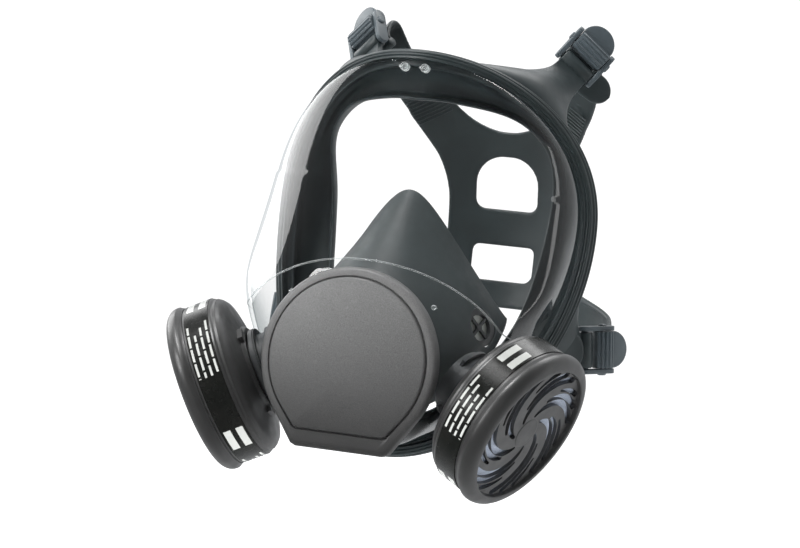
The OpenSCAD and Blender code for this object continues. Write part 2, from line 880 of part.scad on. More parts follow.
lens();
face_seal();
nose_cup();
front_cover();
front_housing();
housing_gasket();
housing_ring();
exhalation_seat();
exhalation_flap();
harness();
lever_pins();
port(-1);  // port_left
port(1);  // port_right
port_gasket(-1);  // port_gasket_left
port_gasket(1);  // port_gasket_right
inhalation_flap(-1);  // inhalation_flap_left
inhalation_flap(1);  // inhalation_flap_right
cup_valve_seat(-1);  // cup_valve_seat_left
cup_valve_seat(1);  // cup_valve_seat_right
cup_valve_flap(-1);  // cup_valve_flap_left
cup_valve_flap(1);  // cup_valve_flap_right
cartridge_body(-1);  // cartridge_body_left
cartridge_body(1);  // cartridge_body_right
cartridge_cap(-1);  // cartridge_cap_left
cartridge_cap(1);  // cartridge_cap_right
cartridge_label(-1);  // cartridge_label_left
cartridge_label(1);  // cartridge_label_right
sorbent_bed(-1);  // sorbent_bed_left
sorbent_bed(1);  // sorbent_bed_right
filter_pad(-1);  // filter_pad_left
filter_pad(1);  // filter_pad_right
cartridge_seal(-1);  // cartridge_seal_left
cartridge_seal(1);  // cartridge_seal_right
buckle_frame(-1, true);  // buckle_frame_top_left
buckle_frame(1, true);  // buckle_frame_top_right
buckle_frame(-1, false);  // buckle_frame_low_left
buckle_frame(1, false);  // buckle_frame_low_right
buckle_lever(-1, true);  // buckle_lever_top_left
buckle_lever(1, true);  // buckle_lever_top_right
buckle_lever(-1, false);  // buckle_lever_low_left
buckle_lever(1, false);  // buckle_lever_low_right
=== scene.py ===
import json
import math
from contextlib import contextmanager

import bmesh
import bpy
import numpy as np
from mathutils import Matrix, Vector


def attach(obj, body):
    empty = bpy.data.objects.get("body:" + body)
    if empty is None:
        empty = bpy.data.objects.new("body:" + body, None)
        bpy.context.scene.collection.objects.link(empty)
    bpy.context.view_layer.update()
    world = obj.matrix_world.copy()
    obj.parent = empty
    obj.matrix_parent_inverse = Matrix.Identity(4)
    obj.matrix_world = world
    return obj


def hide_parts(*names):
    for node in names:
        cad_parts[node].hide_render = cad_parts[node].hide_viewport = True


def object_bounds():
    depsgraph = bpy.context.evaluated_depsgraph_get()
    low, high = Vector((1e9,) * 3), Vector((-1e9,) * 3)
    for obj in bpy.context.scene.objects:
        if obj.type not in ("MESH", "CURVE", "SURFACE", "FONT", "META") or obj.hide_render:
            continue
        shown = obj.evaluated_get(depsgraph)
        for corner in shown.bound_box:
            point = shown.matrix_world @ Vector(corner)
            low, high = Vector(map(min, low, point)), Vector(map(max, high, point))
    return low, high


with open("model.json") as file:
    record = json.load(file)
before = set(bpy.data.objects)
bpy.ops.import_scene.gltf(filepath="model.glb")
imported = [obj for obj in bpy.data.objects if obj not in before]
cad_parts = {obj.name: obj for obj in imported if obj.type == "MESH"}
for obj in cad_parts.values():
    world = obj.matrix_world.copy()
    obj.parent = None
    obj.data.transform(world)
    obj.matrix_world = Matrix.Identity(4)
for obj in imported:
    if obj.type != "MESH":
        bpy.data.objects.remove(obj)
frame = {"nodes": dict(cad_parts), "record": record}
cad_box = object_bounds()

# Lengths below are in millimetres, in the CAD frame: +Z up, the mask looks along -Y.
MM = 0.001
SIDES = {"left": -1, "right": 1}
# Narrowest that a band may become at its ends
LEAST_W = 0.4

# --- mesh helpers


def link(obj):
    bpy.context.scene.collection.objects.link(obj)
    return obj


def remove(objects):
    for obj in objects:
        bpy.data.objects.remove(obj)


@contextmanager
def editing(mesh):
    """A bmesh of the mesh, written back to it at the end."""
    bm = bmesh.new()
    bm.from_mesh(mesh)
    yield bm
    bm.to_mesh(mesh)
    bm.free()


def make_object(name, points, faces):
    """Mesh object from points in millimetres, with its normals made to face outwards."""
    mesh = bpy.data.meshes.new(name)
    mesh.from_pydata((np.asarray(points, float) * MM).tolist(), [], [tuple(f) for f in faces])
    mesh.validate()
    with editing(mesh) as bm:
        bmesh.ops.recalc_face_normals(bm, faces=bm.faces)
    mesh.polygons.foreach_set("use_smooth", [True] * len(mesh.polygons))
    return link(bpy.data.objects.new(name, mesh))


def settle(obj):
    """Turns an object's modifiers into its mesh."""
    depsgraph = bpy.context.evaluated_depsgraph_get()
    mesh = bpy.data.meshes.new_from_object(obj.evaluated_get(depsgraph))
    obj.modifiers.clear()
    obj.data = mesh
    return obj


def add_modifier(obj, kind, **settings):
    modifier = obj.modifiers.new(kind.lower(), kind)
    for key, value in settings.items():
        setattr(modifier, key, value)
    return modifier


def join(name, objects):
    """One object whose mesh holds all the given meshes."""
    bm = bmesh.new()
    for obj in objects:
        bm.from_mesh(obj.data)
    mesh = bpy.data.meshes.new(name)
    bm.to_mesh(mesh)
    bm.free()
    remove(objects)
    return link(bpy.data.objects.new(name, mesh))


def crease_by_angle(obj, degrees=35):
    """Smooth shading everywhere but across edges sharper than the angle."""
    limit = math.radians(degrees)
    with editing(obj.data) as bm:
        for face in bm.faces:
            face.smooth = True
        for edge in bm.edges:
            edge.smooth = len(edge.link_faces) == 2 and edge.calc_face_angle(0) < limit
    return obj


def grid_faces(rows, columns, wrap_rows=False, wrap_columns=False):
    """Quads of a grid of points, row by row."""
    faces = []
    for i in range(rows if wrap_rows else rows - 1):
        for j in range(columns if wrap_columns else columns - 1):
            k, m = (i + 1) % rows, (j + 1) % columns
            faces.append((i * columns + j, i * columns + m, k * columns + m, k * columns + j))
    return faces


def grid_border(rows, columns):
    """Indices round the edge of a grid of points, in order."""
    return (
        list(range(columns))
        + [i * columns + columns - 1 for i in range(1, rows)]
        + [rows * columns - 1 - j for j in range(1, columns)]
        + [i * columns for i in range(rows - 2, 0, -1)]
    )


def shell_faces(rows, columns):
    """Faces of a closed shell between two grids of points, one listed after the other."""
    count = rows * columns
    faces = grid_faces(rows, columns)
    faces += [tuple(count + k for k in reversed(f)) for f in faces]
    border = grid_border(rows, columns)
    faces += [(a, b, count + b, count + a) for a, b in zip(border, border[1:] + border[:1])]
    return faces


def swept(name, rings, closed=False):
    """Tube through rings of points, capped at both ends unless it is closed."""
    rings = np.asarray(rings, float)
    rows, columns = rings.shape[:2]
    faces = grid_faces(rows, columns, closed, True)
    if not closed:
        faces += [tuple(range(columns)), tuple(range((rows - 1) * columns, rows * columns))]
    return make_object(name, rings.reshape(-1, 3), faces)


def turned(name, profile, segments):
    """Solid of revolution about local Z from a closed [radius, height] profile."""
    r, z = np.asarray(profile, float).T
    turns = np.linspace(0, 2 * math.pi, segments, endpoint=False)
    rings = [np.stack([r * math.cos(a), r * math.sin(a), z], -1) for a in turns]
    return weld(swept(name, rings, closed=True))


def weld(obj):
    """Joins points that lie on each other, such as those on an axis."""
    distance = 1e-7
    with editing(obj.data) as bm:
        bmesh.ops.remove_doubles(bm, verts=bm.verts, dist=distance)
        bmesh.ops.dissolve_degenerate(bm, dist=distance, edges=bm.edges)
        bmesh.ops.recalc_face_normals(bm, faces=bm.faces)
    return obj


def prism(name, outline, low, high):
    """Straight solid over an [x, y] outline, between two heights."""
    outline = np.asarray(outline, float)
    rings = [np.column_stack([outline, np.full(len(outline), z)]) for z in (low, high)]
    return swept(name, rings)


def moved(obj, matrix):
    """Puts an object's mesh where a matrix in millimetres takes it."""
    place = Matrix(matrix)
    place.translation = place.translation * MM
    obj.data.transform(place)
    if place.determinant() < 0:
        obj.data.flip_normals()
    return obj


def copy_of(obj, name):
    return link(bpy.data.objects.new(name, obj.data.copy()))


def cut(obj, cutters, operation="DIFFERENCE"):
    """Takes the cutters out of an object, or adds them to it."""
    for cutter in cutters:
        add_modifier(obj, "BOOLEAN", operation=operation, solver="EXACT", object=cutter)
    settle(obj)
    remove(cutters)
    return obj


def catmull_rom(a, b, c, d, f):
    """Value a fraction f of the way from b to c, on a smooth curve through a, b, c and d."""
    return 0.5 * (
        2 * b + (c - a) * f + (2 * a - 5 * b + 4 * c - d) * f**2 + (3 * b - a - 3 * c + d) * f**3
    )


def smooth_curve(points, steps):
    """Open smooth curve through rows of values, sampled evenly between its points."""
    points = np.asarray(points, float)
    last = len(points) - 1
    u = np.linspace(0, last, steps)
    i = np.minimum(u.astype(int), last - 1)
    f = (u - i)[:, None]
    before, after = points[np.maximum(i - 1, 0)], points[np.minimum(i + 2, last)]
    return catmull_rom(before, points[i], points[i + 1], after, f)


def closed_curve(points, steps_each):
    """Smooth curve through a closed loop of points."""
    count = len(points)
    curve = []
    for i in range(count):
        near = [points[(i + k) % count] for k in (-1, 0, 1, 2)]
        curve += [catmull_rom(*near, f) for f in np.linspace(0, 1, steps_each, endpoint=False)]
    return np.array(curve)


def unit(v):
    v = np.asarray(v, float)
    return v / np.maximum(np.linalg.norm(v, axis=-1, keepdims=True), 1e-9)


def rounded_section(width, thickness):
    """Rectangle with round short sides, as [across, up] points."""
    radius = min(thickness, width) / 2
    points = []
    for x, y, start in ((1, 1, 0), (-1, 1, 90), (-1, -1, 180), (1, -1, 270)):
        for a in np.radians(np.linspace(start, start + 90, 4)):
            points.append((
                x * (width / 2 - radius) + radius * math.cos(a),
                y * (thickness / 2 - radius) + radius * math.sin(a),
            ))
    return np.array(points)


def band(name, points, widths, across, thickness, steps):
    """Strap of rubber through points, with a width and a width direction at each of them."""
    path = smooth_curve(points, steps)
    wide = smooth_curve(np.asarray(widths, float)[:, None], steps)[:, 0]
    side = unit(smooth_curve(across, steps))
    ahead = unit(np.gradient(path, axis=0))
    side = unit(side - (side * ahead).sum(-1, keepdims=True) * ahead)
    up = unit(np.cross(ahead, side))
    rings = []
    for k in range(steps):
        section = rounded_section(max(wide[k], LEAST_W), thickness)
        rings.append(path[k] + section[:, :1] * side[k] + section[:, 1:] * up[k])
    return swept(name, rings)


# --- the mask's curves

RIM_HALF_W, RIM_MID_Z, RIM_RISE, RIM_DROP = 79.0, 30.0, 75.0, 115.0
BROW_Y, TEMPLE_Y, CHIN_Y = -11.0, 41.0, 0.0
# Powers of the rim: its squareness over the brow, and how late it sweeps back to the temples
BROW_SQUARENESS, BROW_SWEEP, CHIN_SWEEP = 2.2, 1.5, 2.5
LENS_T = 2.4
COVER_Z = -43.5
PORT_POINT = np.array([52.8, -26.4, -51.5])
PORT_DOWN, PORT_FORWARD = math.radians(27), math.radians(11.5)
PORT_AXIS = np.array([
    math.cos(PORT_DOWN) * math.cos(PORT_FORWARD),
    -math.cos(PORT_DOWN) * math.sin(PORT_FORWARD),
    -math.sin(PORT_DOWN),
])
CAP_R, CAP_FRONT = 42.0, 38.4
BODY_R = CAP_R - 1.8


def rim(t):
    """Points of the lens rim at angles t in degrees: 0 right temple, 90 brow, 270 chin."""
    c, s = np.cos(np.radians(t)), np.sin(np.radians(t))
    up = s >= 0
    square_c, square_s = (np.sign(v) * np.abs(v) ** (2 / BROW_SQUARENESS) for v in (c, s))
    x = RIM_HALF_W * np.where(up, square_c, c)
    y = np.where(
        up,
        BROW_Y + (TEMPLE_Y - BROW_Y) * np.abs(c) ** BROW_SWEEP,
        CHIN_Y + (TEMPLE_Y - CHIN_Y) * np.abs(c) ** CHIN_SWEEP,
    )
    z = RIM_MID_Z + np.where(up, RIM_RISE * square_s, RIM_DROP * s)
    return np.stack([x, y, z], -1)


def rim_out(t):
    """Unit vectors that point out of the rim's outline."""
    d = rim(np.asarray(t) + 1) - rim(np.asarray(t) - 1)
    return unit(np.stack([d[..., 2], 0 * d[..., 0], -d[..., 0]], -1))


def rim_offset(t, out, back):
    return rim(t) + out * rim_out(t) + np.array([0, back, 0])


def shift(x, y, z):
    return Matrix.Translation((x, y, z))


def rotation(x=0.0, y=0.0, z=0.0):
    """Rotation about X, then Y, then Z, in degrees."""
    return (
        Matrix.Rotation(math.radians(z), 4, "Z")
        @ Matrix.Rotation(math.radians(y), 4, "Y")
        @ Matrix.Rotation(math.radians(x), 4, "X")
    )


def mirror_if(side):
    return Matrix.Diagonal((side, 1, 1, 1))


def port_matrix(side):
    """Takes local +Z to the cartridge axis, without turning a left-hand piece inside out."""
    place = shift(*PORT_POINT)
    turn = rotation(y=90 + math.degrees(PORT_DOWN), z=-math.degrees(PORT_FORWARD))
    return mirror_if(side) @ place @ turn @ Matrix.Diagonal((1, side, 1, 1))


TOP_BUCKLE = (np.array([56.4, 69.9, 114.7]), (68, -49, 54.4))
LOW_BUCKLE = (np.array([81.0, 59.0, -27.5]), (88, -6, 57))
BUCKLE_W, ARM_T = 19.2, 2.4
TAB_T, TAB_FAN, TAB_END_W = 3.2, 75, BUCKLE_W - 1.4
CAM_X, CAM_Z, CAM_R = 11.0, 0.5, 5.2


def buckle_matrix(buckle):
    return shift(*buckle[0]) @ rotation(*buckle[1])


def in_buckle(buckle, *v):
    return np.array(buckle_matrix(buckle) @ Vector(v))


def across_buckle(buckle):
    return np.array(rotation(*buckle[1]) @ Vector((0, 1, 0)))


# --- materials


class Graph:
    """Builds the nodes of one material, or of the world."""

    def __init__(self, owner, output_kind="OutputMaterial"):
        self.owner = owner
        owner.use_nodes = True
        self.tree = owner.node_tree
        self.tree.nodes.clear()
        self.output = self.add(output_kind)

    def add(self, kind, inputs=None, **settings):
        node = self.tree.nodes.new("ShaderNode" + kind)
        for key, value in settings.items():
            setattr(node, key, value)
        for key, value in (inputs or {}).items():
            if isinstance(value, bpy.types.NodeSocket):
                self.tree.links.new(value, node.inputs[key])
            else:
                node.inputs[key].default_value = value
        return node

    def noise(self, scale, detail=3.0, roughness=0.5, vector=None):
        where = vector or self.add("TexCoord").outputs["Object"]
        return self.add(
            "TexNoise",
            {"Vector": where, "Scale": scale, "Detail": detail, "Roughness": roughness},
        ).outputs["Fac"]

    def ramp(self, value, low, high, out_low, out_high):
        ends = {"From Min": low, "From Max": high, "To Min": out_low, "To Max": out_high}
        return self.add("MapRange", {"Value": value, **ends}).outputs["Result"]

    def mix(self, fac, a, b):
        # Sockets 0, 6, 7 and 2 of a Mix node are the ones for colour
        return self.add("Mix", {0: fac, 6: a, 7: b}, data_type="RGBA").outputs[2]

    def mottle(self, noise, a, b):
        """Colour that goes from a to b with a noise."""
        return self.mix(self.ramp(noise, 0.3, 0.7, 0, 1), a, b)

    def mix_shaders(self, share, a, b):
        return self.add("MixShader", {0: share, 1: a, 2: b}).outputs[0]

    def bump(self, height, distance, strength=1.0, normal=None):
        inputs = {"Height": height, "Distance": distance, "Strength": strength}
        if normal:
            inputs["Normal"] = normal
        return self.add("Bump", inputs).outputs["Normal"]

    def finish(self, shader):
        """Links a shader to the output, and gives the material or world."""
        self.tree.links.new(shader, self.output.inputs["Surface"])
        return self.owner

    def principled(self, **inputs):
        named = {k.replace("_", " "): v for k, v in inputs.items()}
        return self.finish(self.add("BsdfPrincipled", named).outputs[0])


def material_graph(name):
    return Graph(bpy.data.materials.new(name))


def rgba(color, factor=1.0):
    return (color[0] * factor, color[1] * factor, color[2] * factor, 1.0)


def moulded(name, color, rough, grain=900.0, edge=0.35, specular=0.5):
    """Moulded rubber or plastic: fine grain, slight mottling and paler worn edges."""
    g = material_graph(name)
    tint = g.mottle(g.noise(45, 4), rgba(color, 0.86), rgba(color, 1.14))
    pointy = g.add("NewGeometry").outputs["Pointiness"]
    worn = g.ramp(pointy, 0.52, 0.62, 0, edge)
    tint = g.mix(worn, tint, rgba(color, 1.9))
    dull = g.ramp(g.noise(160, 3), 0.3, 0.7, rough - 0.05, rough + 0.07)
    skin = g.bump(g.noise(grain, 2), 0.00004, 0.6)
    skin = g.bump(g.noise(70, 2), 0.00012, 0.25, skin)
    return g.principled(Base_Color=tint, Roughness=dull, Normal=skin, Specular_IOR_Level=specular)


def textured_cover():
    """Grey plastic with a spark-eroded texture, and painted shade that darkens it towards its
    bottom.
    """
    g = material_graph("cover_grey")
    color = (0.125, 0.125, 0.125)
    speck = g.noise(2600, 2)
    broad = g.noise(30, 3)
    tint = g.mix(g.ramp(speck, 0.35, 0.65, 0, 1), rgba(color, 0.72), rgba(color, 1.25))
    tint = g.mix(g.ramp(broad, 0.3, 0.7, 0, 0.3), tint, rgba(color, 1.25))
    place = g.add("TexCoord").outputs["Object"]
    height = g.add("SeparateXYZ", {"Vector": place}).outputs["Z"]
    # Painted shade: the colour darkens towards the bottom, standing in for light that falls from
    # above
    tint = g.mix(g.ramp(height, -0.095, -0.01, 0, 1), rgba(color, 0.1), tint)
    dull = g.ramp(g.noise(220, 3), 0.3, 0.7, 0.4, 0.52)
    skin = g.bump(speck, 0.00006, 0.8)
    return g.principled(Base_Color=tint, Roughness=dull, Normal=skin, Specular_IOR_Level=0.45)


def clear_lens():
    """Clear plastic: straight through, with reflections and a faint cool tint at its edges."""
    g = material_graph("lens_clear")
    facing = g.add("LayerWeight", {"Blend": 0.5}).outputs["Facing"]
    tint = g.mix(g.ramp(facing, 0.55, 1.0, 0, 1), (1, 1, 1, 1), (0.70, 0.74, 0.75, 1))
    through = g.add("BsdfTransparent", {"Color": tint}).outputs[0]
    haze = g.ramp(g.noise(18, 3), 0.3, 0.7, 0.015, 0.04)
    shine = g.add("BsdfGlossy", {"Color": (1, 1, 1, 1), "Roughness": haze}).outputs[0]
    fresnel = g.add("Fresnel", {"IOR": 1.5}).outputs[0]
    behind = g.add("NewGeometry").outputs["Backfacing"]
    outside = g.add("Math", {0: 1.0, 1: behind}, operation="SUBTRACT").outputs[0]
    share = g.add("Math", {0: fresnel, 1: outside}, operation="MULTIPLY").outputs[0]
    return g.finish(g.mix_shaders(share, through, shine))


def clear_moulding():
    """Clear plastic of the small mouldings, with a painted highlight: a pale colour towards their
    edges, where they catch the light.
    """
    g = material_graph("peg_clear")
    facing = g.add("LayerWeight", {"Blend": 0.5}).outputs["Facing"]
    through = g.add("BsdfTransparent", {"Color": (0.9, 0.92, 0.92, 1)}).outputs[0]
    dull = g.ramp(g.noise(300, 3), 0.3, 0.7, 0.05, 0.12)
    # Painted highlight: a pale diffuse colour, mixed in more towards the grazing edges, stands in
    # for glints
    painted_glint = g.add(
        "BsdfPrincipled",
        {"Base Color": (0.86, 0.88, 0.88, 1), "Roughness": dull, "Specular IOR Level": 0.8},
    ).outputs[0]
    share = g.ramp(facing, 0.2, 0.9, 0.06, 0.85)
    return g.finish(g.mix_shaders(share, through, painted_glint))


def printed_label():
    """Glossy black film with plain pale bars where the real label carries print."""
    g = material_graph("label_film")
    where = g.add("UVMap", uv_map="around").outputs["UV"]
    split = g.add("SeparateXYZ", {"Vector": where})
    around, along = split.outputs["X"], split.outputs["Y"]

    def calc(operation, a, b=0.0, c=0.0):
        return g.add("Math", {0: a, 1: b, 2: c}, operation=operation).outputs[0]

    def window(value, low, high):
        above = calc("GREATER_THAN", value, low)
        below = calc("LESS_THAN", value, high)
        return calc("MULTIPLY", above, below)

    # The print repeats three times round the body: four rows of short bars, then two thick bars
    repeats, rows, thick_rows = 3.0, 4.0, 2.0
    turn = calc("FRACT", calc("MULTIPLY_ADD", around, repeats, 0.3))
    row = calc("MULTIPLY", along, rows)
    row_number, in_row = calc("FLOOR", row), calc("FRACT", row)
    uneven = calc("FRACT", calc("MULTIPLY", row_number, 0.37))
    row_end = calc("MULTIPLY_ADD", uneven, -0.12, 0.44)
    stagger = calc("MULTIPLY", row_number, 0.31)
    word = calc("FRACT", calc("MULTIPLY_ADD", turn, 11.0, stagger))
    small = calc("MULTIPLY", window(turn, 0.08, row_end), window(in_row, 0.34, 0.7))
    small = calc("MULTIPLY", small, calc("LESS_THAN", word, 0.86))
    in_thick_row = calc("FRACT", calc("MULTIPLY", along, thick_rows))
    big = calc("MULTIPLY", window(turn, 0.58, 0.74), window(in_thick_row, 0.2, 0.78))
    ink = calc("MAXIMUM", small, big)
    film = g.mottle(g.noise(60, 3), (0.005, 0.006, 0.005, 1), (0.010, 0.010, 0.009, 1))
    tint = g.mix(ink, film, (0.5, 0.51, 0.49, 1))
    dull = g.ramp(g.noise(300, 2), 0.3, 0.7, 0.2, 0.3)
    return g.principled(Base_Color=tint, Roughness=dull, Specular_IOR_Level=0.3)


def felt():
    """Pale filter felt."""
    g = material_graph("filter_felt")
    fibre = g.noise(1400, 5, 0.7)
    tint = g.mottle(fibre, (0.24, 0.28, 0.36, 1), (0.40, 0.45, 0.54, 1))
    return g.principled(
        Base_Color=tint, Roughness=0.95, Normal=g.bump(fibre, 0.0003, 0.8), Sheen_Weight=0.3
    )


def silicone():
    """Pale translucent valve silicone."""
    g = material_graph("valve_silicone")
    tint = g.mottle(g.noise(90, 3), (0.44, 0.47, 0.43, 1), (0.58, 0.61, 0.57, 1))
    return g.principled(
        Base_Color=tint, Roughness=0.4, Subsurface_Weight=0.25, Subsurface_Radius=(0.002,) * 3
    )


def steel():
    """Plain drawn steel."""
    g = material_graph("pin_steel")
    dull = g.ramp(g.noise(800, 3), 0.3, 0.7, 0.25, 0.4)
    return g.principled(Base_Color=(0.55, 0.55, 0.55, 1), Metallic=1.0, Roughness=dull)


def carbon():
    """Packed sorbent granules, with painted shade darkening the gaps between them."""
    g = material_graph("sorbent_granules")
    place = g.add("TexCoord").outputs["Object"]
    cells = g.add("TexVoronoi", {"Vector": place, "Scale": 700.0}).outputs["Distance"]
    # Painted shade: the colour darkens from each granule's middle out to the gaps between granules
    tint = g.mix(g.ramp(cells, 0, 0.7, 0, 1), (0.05, 0.05, 0.05, 1), (0.01, 0.01, 0.01, 1))
    skin = g.bump(cells, 0.0006, 0.9)
    return g.principled(Base_Color=tint, Roughness=0.8, Normal=skin)


LOOKS = {
    "lens": clear_lens(),
    "peg": clear_moulding(),
    "rubber": moulded("rubber_slate", (0.024, 0.033, 0.035), 0.42, edge=0.25),
    "cup_rubber": moulded("cup_rubber", (0.030, 0.040, 0.042), 0.55, edge=0.2),
    "cover": textured_cover(),
    "charcoal": moulded("charcoal_plastic", (0.035, 0.038, 0.040), 0.45),
    "cartridge": moulded(
        "cartridge_plastic", (0.024, 0.024, 0.024), 0.38, grain=1500, edge=0.3, specular=0.75
    ),
    "label": printed_label(),
    "gasket": moulded("gasket_rubber", (0.014, 0.016, 0.017), 0.6),
    "valve": silicone(),
    "sorbent": carbon(),
    "filter": felt(),
    "buckle": moulded("buckle_plastic", (0.062, 0.078, 0.088), 0.4, grain=1200, edge=0.35),
    "steel": steel(),
}
NODE_SLOT = {p["node"]: p["material_slot"] for p in frame["record"]["subparts"]}
BODY_OF = {n: b for b, members in frame["record"]["behaviour"]["bodies"].items() for n in members}


def paint(obj, look):
    obj.data.materials.clear()
    obj.data.materials.append(LOOKS[look])


def finish_piece(obj, *nodes, look=None):
    """Gives a piece its material, picked by its slot unless a look is given, and its body, and
    hides the CAD nodes it stands for.
    """
    paint(obj, look or NODE_SLOT[nodes[0]])
    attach(obj, BODY_OF[nodes[0]])
    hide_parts(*nodes)
    return obj


# --- lens

# Each row of the lens is a smooth least of five reaches along rays from (0, RAY_Y)
RAY_Y = 24.0
LENS_FRONT_Y, LENS_SLOPE, LENS_LEAN, LENS_BULGE = -51.8, 0.405, 0.1, 4
# The sides reach past the rim by the bulge, and grow below this height, up to a widest reach
CHEEK_Z, CHEEK_START, CHEEK_GROWTH, CHEEK_MOST = 45, 78.8, 0.16, 90
CHEEK_A, CHEEK_B, FACET_DISTANCE = 105.0, 76.5, 74.2
CHIN_TOP_Z, CHIN_DEEP, CHIN_REACH, CHIN_POWER = -25, 61, 80, 3


def ray_to_ellipse(centre_y, across, forward, a):
    """Reach along rays at angles a to an ellipse about (0, centre_y)."""
    c, s, d = np.cos(a) / across, np.sin(a) / forward, (RAY_Y - centre_y) / forward
    inside = np.maximum(s * s * d * d - (c * c + s * s) * (d * d - 1), 0)
    return (s * d + np.sqrt(inside)) / (c * c + s * s)


def ray_to_facet(z, a):
    """Reach along rays at angles a to the flat cheek facet that carries the port."""
    to_facet = FACET_DISTANCE - PORT_AXIS[1] * RAY_Y - PORT_AXIS[2] * z
    return to_facet / (PORT_AXIS[0] * np.cos(a) - PORT_AXIS[1] * np.sin(a))


def ray_to_chin(z, a):
    """Reach along rays at angles a to the front of the chin, which is far away above it."""
    low = np.clip((CHIN_TOP_Z - z) / CHIN_DEEP, 0, 0.9995)
    forward = CHIN_REACH * np.maximum(1 - low**CHIN_POWER, 0.001) ** (1 / CHIN_POWER)
    return np.where(z > CHIN_TOP_Z, 1000, forward / np.maximum(np.sin(a), 0.001))


def lens_grid(t, u, depth):
    """Lens points: t is a column of rim angles, u a row from the right edge to the left edge."""
    edge = rim(t)
    ex, ey, ez = (edge[..., k] for k in range(3))
    first = np.arctan2(RAY_Y - ey, ex)
    a = first + (math.pi - 2 * first) * u
    folded = np.where(a > math.pi / 2, math.pi - a, a)
    front = LENS_FRONT_Y + LENS_SLOPE * ez
    cheek = CHEEK_START + CHEEK_GROWTH * (CHEEK_Z - ez)
    across = np.minimum(np.where(ez > CHEEK_Z, ex, cheek), CHEEK_MOST) + LENS_BULGE
    lean = LENS_LEAN * np.clip((ez + CHEEK_Z) / CHEEK_Z, 0, 1)
    reaches = [
        (ex + lean * (ey - RAY_Y)) / np.maximum(np.cos(folded) - lean * np.sin(folded), 0.0001),
        ray_to_ellipse(ey, across, ey - front, folded),
        ray_to_ellipse(RAY_Y, CHEEK_A, CHEEK_B, folded),
        ray_to_facet(ez, folded),
        ray_to_chin(ez, folded),
    ]
    # The higher the power, the tighter the bends between the reaches; the scale keeps it in range
    power, scale = 48.0, 60
    total = sum((reach / scale) ** -power for reach in reaches)
    r = scale * total ** (-1 / power) - depth
    return np.stack([r * np.cos(a), RAY_Y - r * np.sin(a), ez + 0 * a], -1)


def lens_surface_y(x, z):
    """Depth of the lens's outer face in front of a point of the XZ plane."""
    reach = RIM_RISE if z > RIM_MID_Z else RIM_DROP
    t = math.degrees(math.asin(max(min((z - RIM_MID_Z) / reach, 1), -1)))
    row = lens_grid(np.array([[t]]), np.linspace(0, 1, 400)[None, :], 0)[0]
    return float(np.interp(-x, -row[:, 0], row[:, 1]))


def peg(place, direction, size):
    """Moulded hook peg: a stem with a rounded head and a small bar across it."""
    profile = [[0, 0], [2.5, 0], [2.0, 0.8], [1.7, 2.2], [2.4, 2.7], [2.5, 3.3], [2.1, 3.8],
               [1.5, 3.6], [1.2, 2.6], [0, 2.4]]
    stem = turned("peg", profile, 28)
    bar = turned("peg_bar", [[0, -3.2], [0.6, -3.0], [0.8, 0], [0.6, 3.0], [0, 3.2]], 12)
    moved(bar, shift(0, 0, 3.2) @ rotation(y=90))
    turn = Vector(direction).to_track_quat("Z", "Y").to_matrix().to_4x4()
    place = shift(*place) @ turn @ Matrix.Scale(size, 4)
    return moved(join("peg", [stem, bar]), place)


def build_lens():
    rows, columns = 150, 180
    t = np.linspace(-87.5, 87.5, rows)[:, None]
    u = np.linspace(0, 1, columns)[None, :]
    points = np.concatenate([lens_grid(t, u, depth).reshape(-1, 3) for depth in (0, LENS_T)])
    lens = make_object("clear_lens", points, shell_faces(rows, columns))
    hole = turned("hole", [[0, 20], [33, 20], [33, 90], [0, 90]], 96)
    holes = [moved(hole, shift(0, 0, COVER_Z) @ rotation(x=90))]
    for side in SIDES.values():
        hole = turned("hole", [[0, -30], [16.6, -30], [16.6, 30], [0, 30]], 64)
        holes.append(moved(hole, port_matrix(side)))
    cut(lens, holes)
    crease_by_angle(lens, 30)
    pegs = []
    for x, z, way, size in ((5.3, 101.0, (0, -1, 0.1), 0.85), (36.0, -14.0, (0.4, -1, 0), 0.5)):
        for side in SIDES.values():
            place = (side * x, lens_surface_y(x, z) + 0.3, z)
            pegs.append(peg(place, (side * way[0], way[1], way[2]), size))
    finish_piece(lens, "lens")
    finish_piece(join("lens_pegs", pegs + [lens_bead()]), "lens", look="peg")


def lens_bead():
    """Fine raised line of the moulding, over the front cover."""
    half_w, height, half_section = 73.0, 48.5, 0.4
    rings = []
    for a in np.radians(np.linspace(22, 158, 120)):
        x, z = half_w * math.cos(a), COVER_Z + height * math.sin(a)
        point = np.array([x, lens_surface_y(x, z) - 0.1, z])
        out = np.array([math.cos(a), 0, math.sin(a)])
        rings.append([
            point + half_section * (out * math.cos(b) + np.array([0, math.sin(b), 0]))
            for b in np.radians(range(0, 360, 45))
        ])
    return swept("bead", rings)


# --- face seal


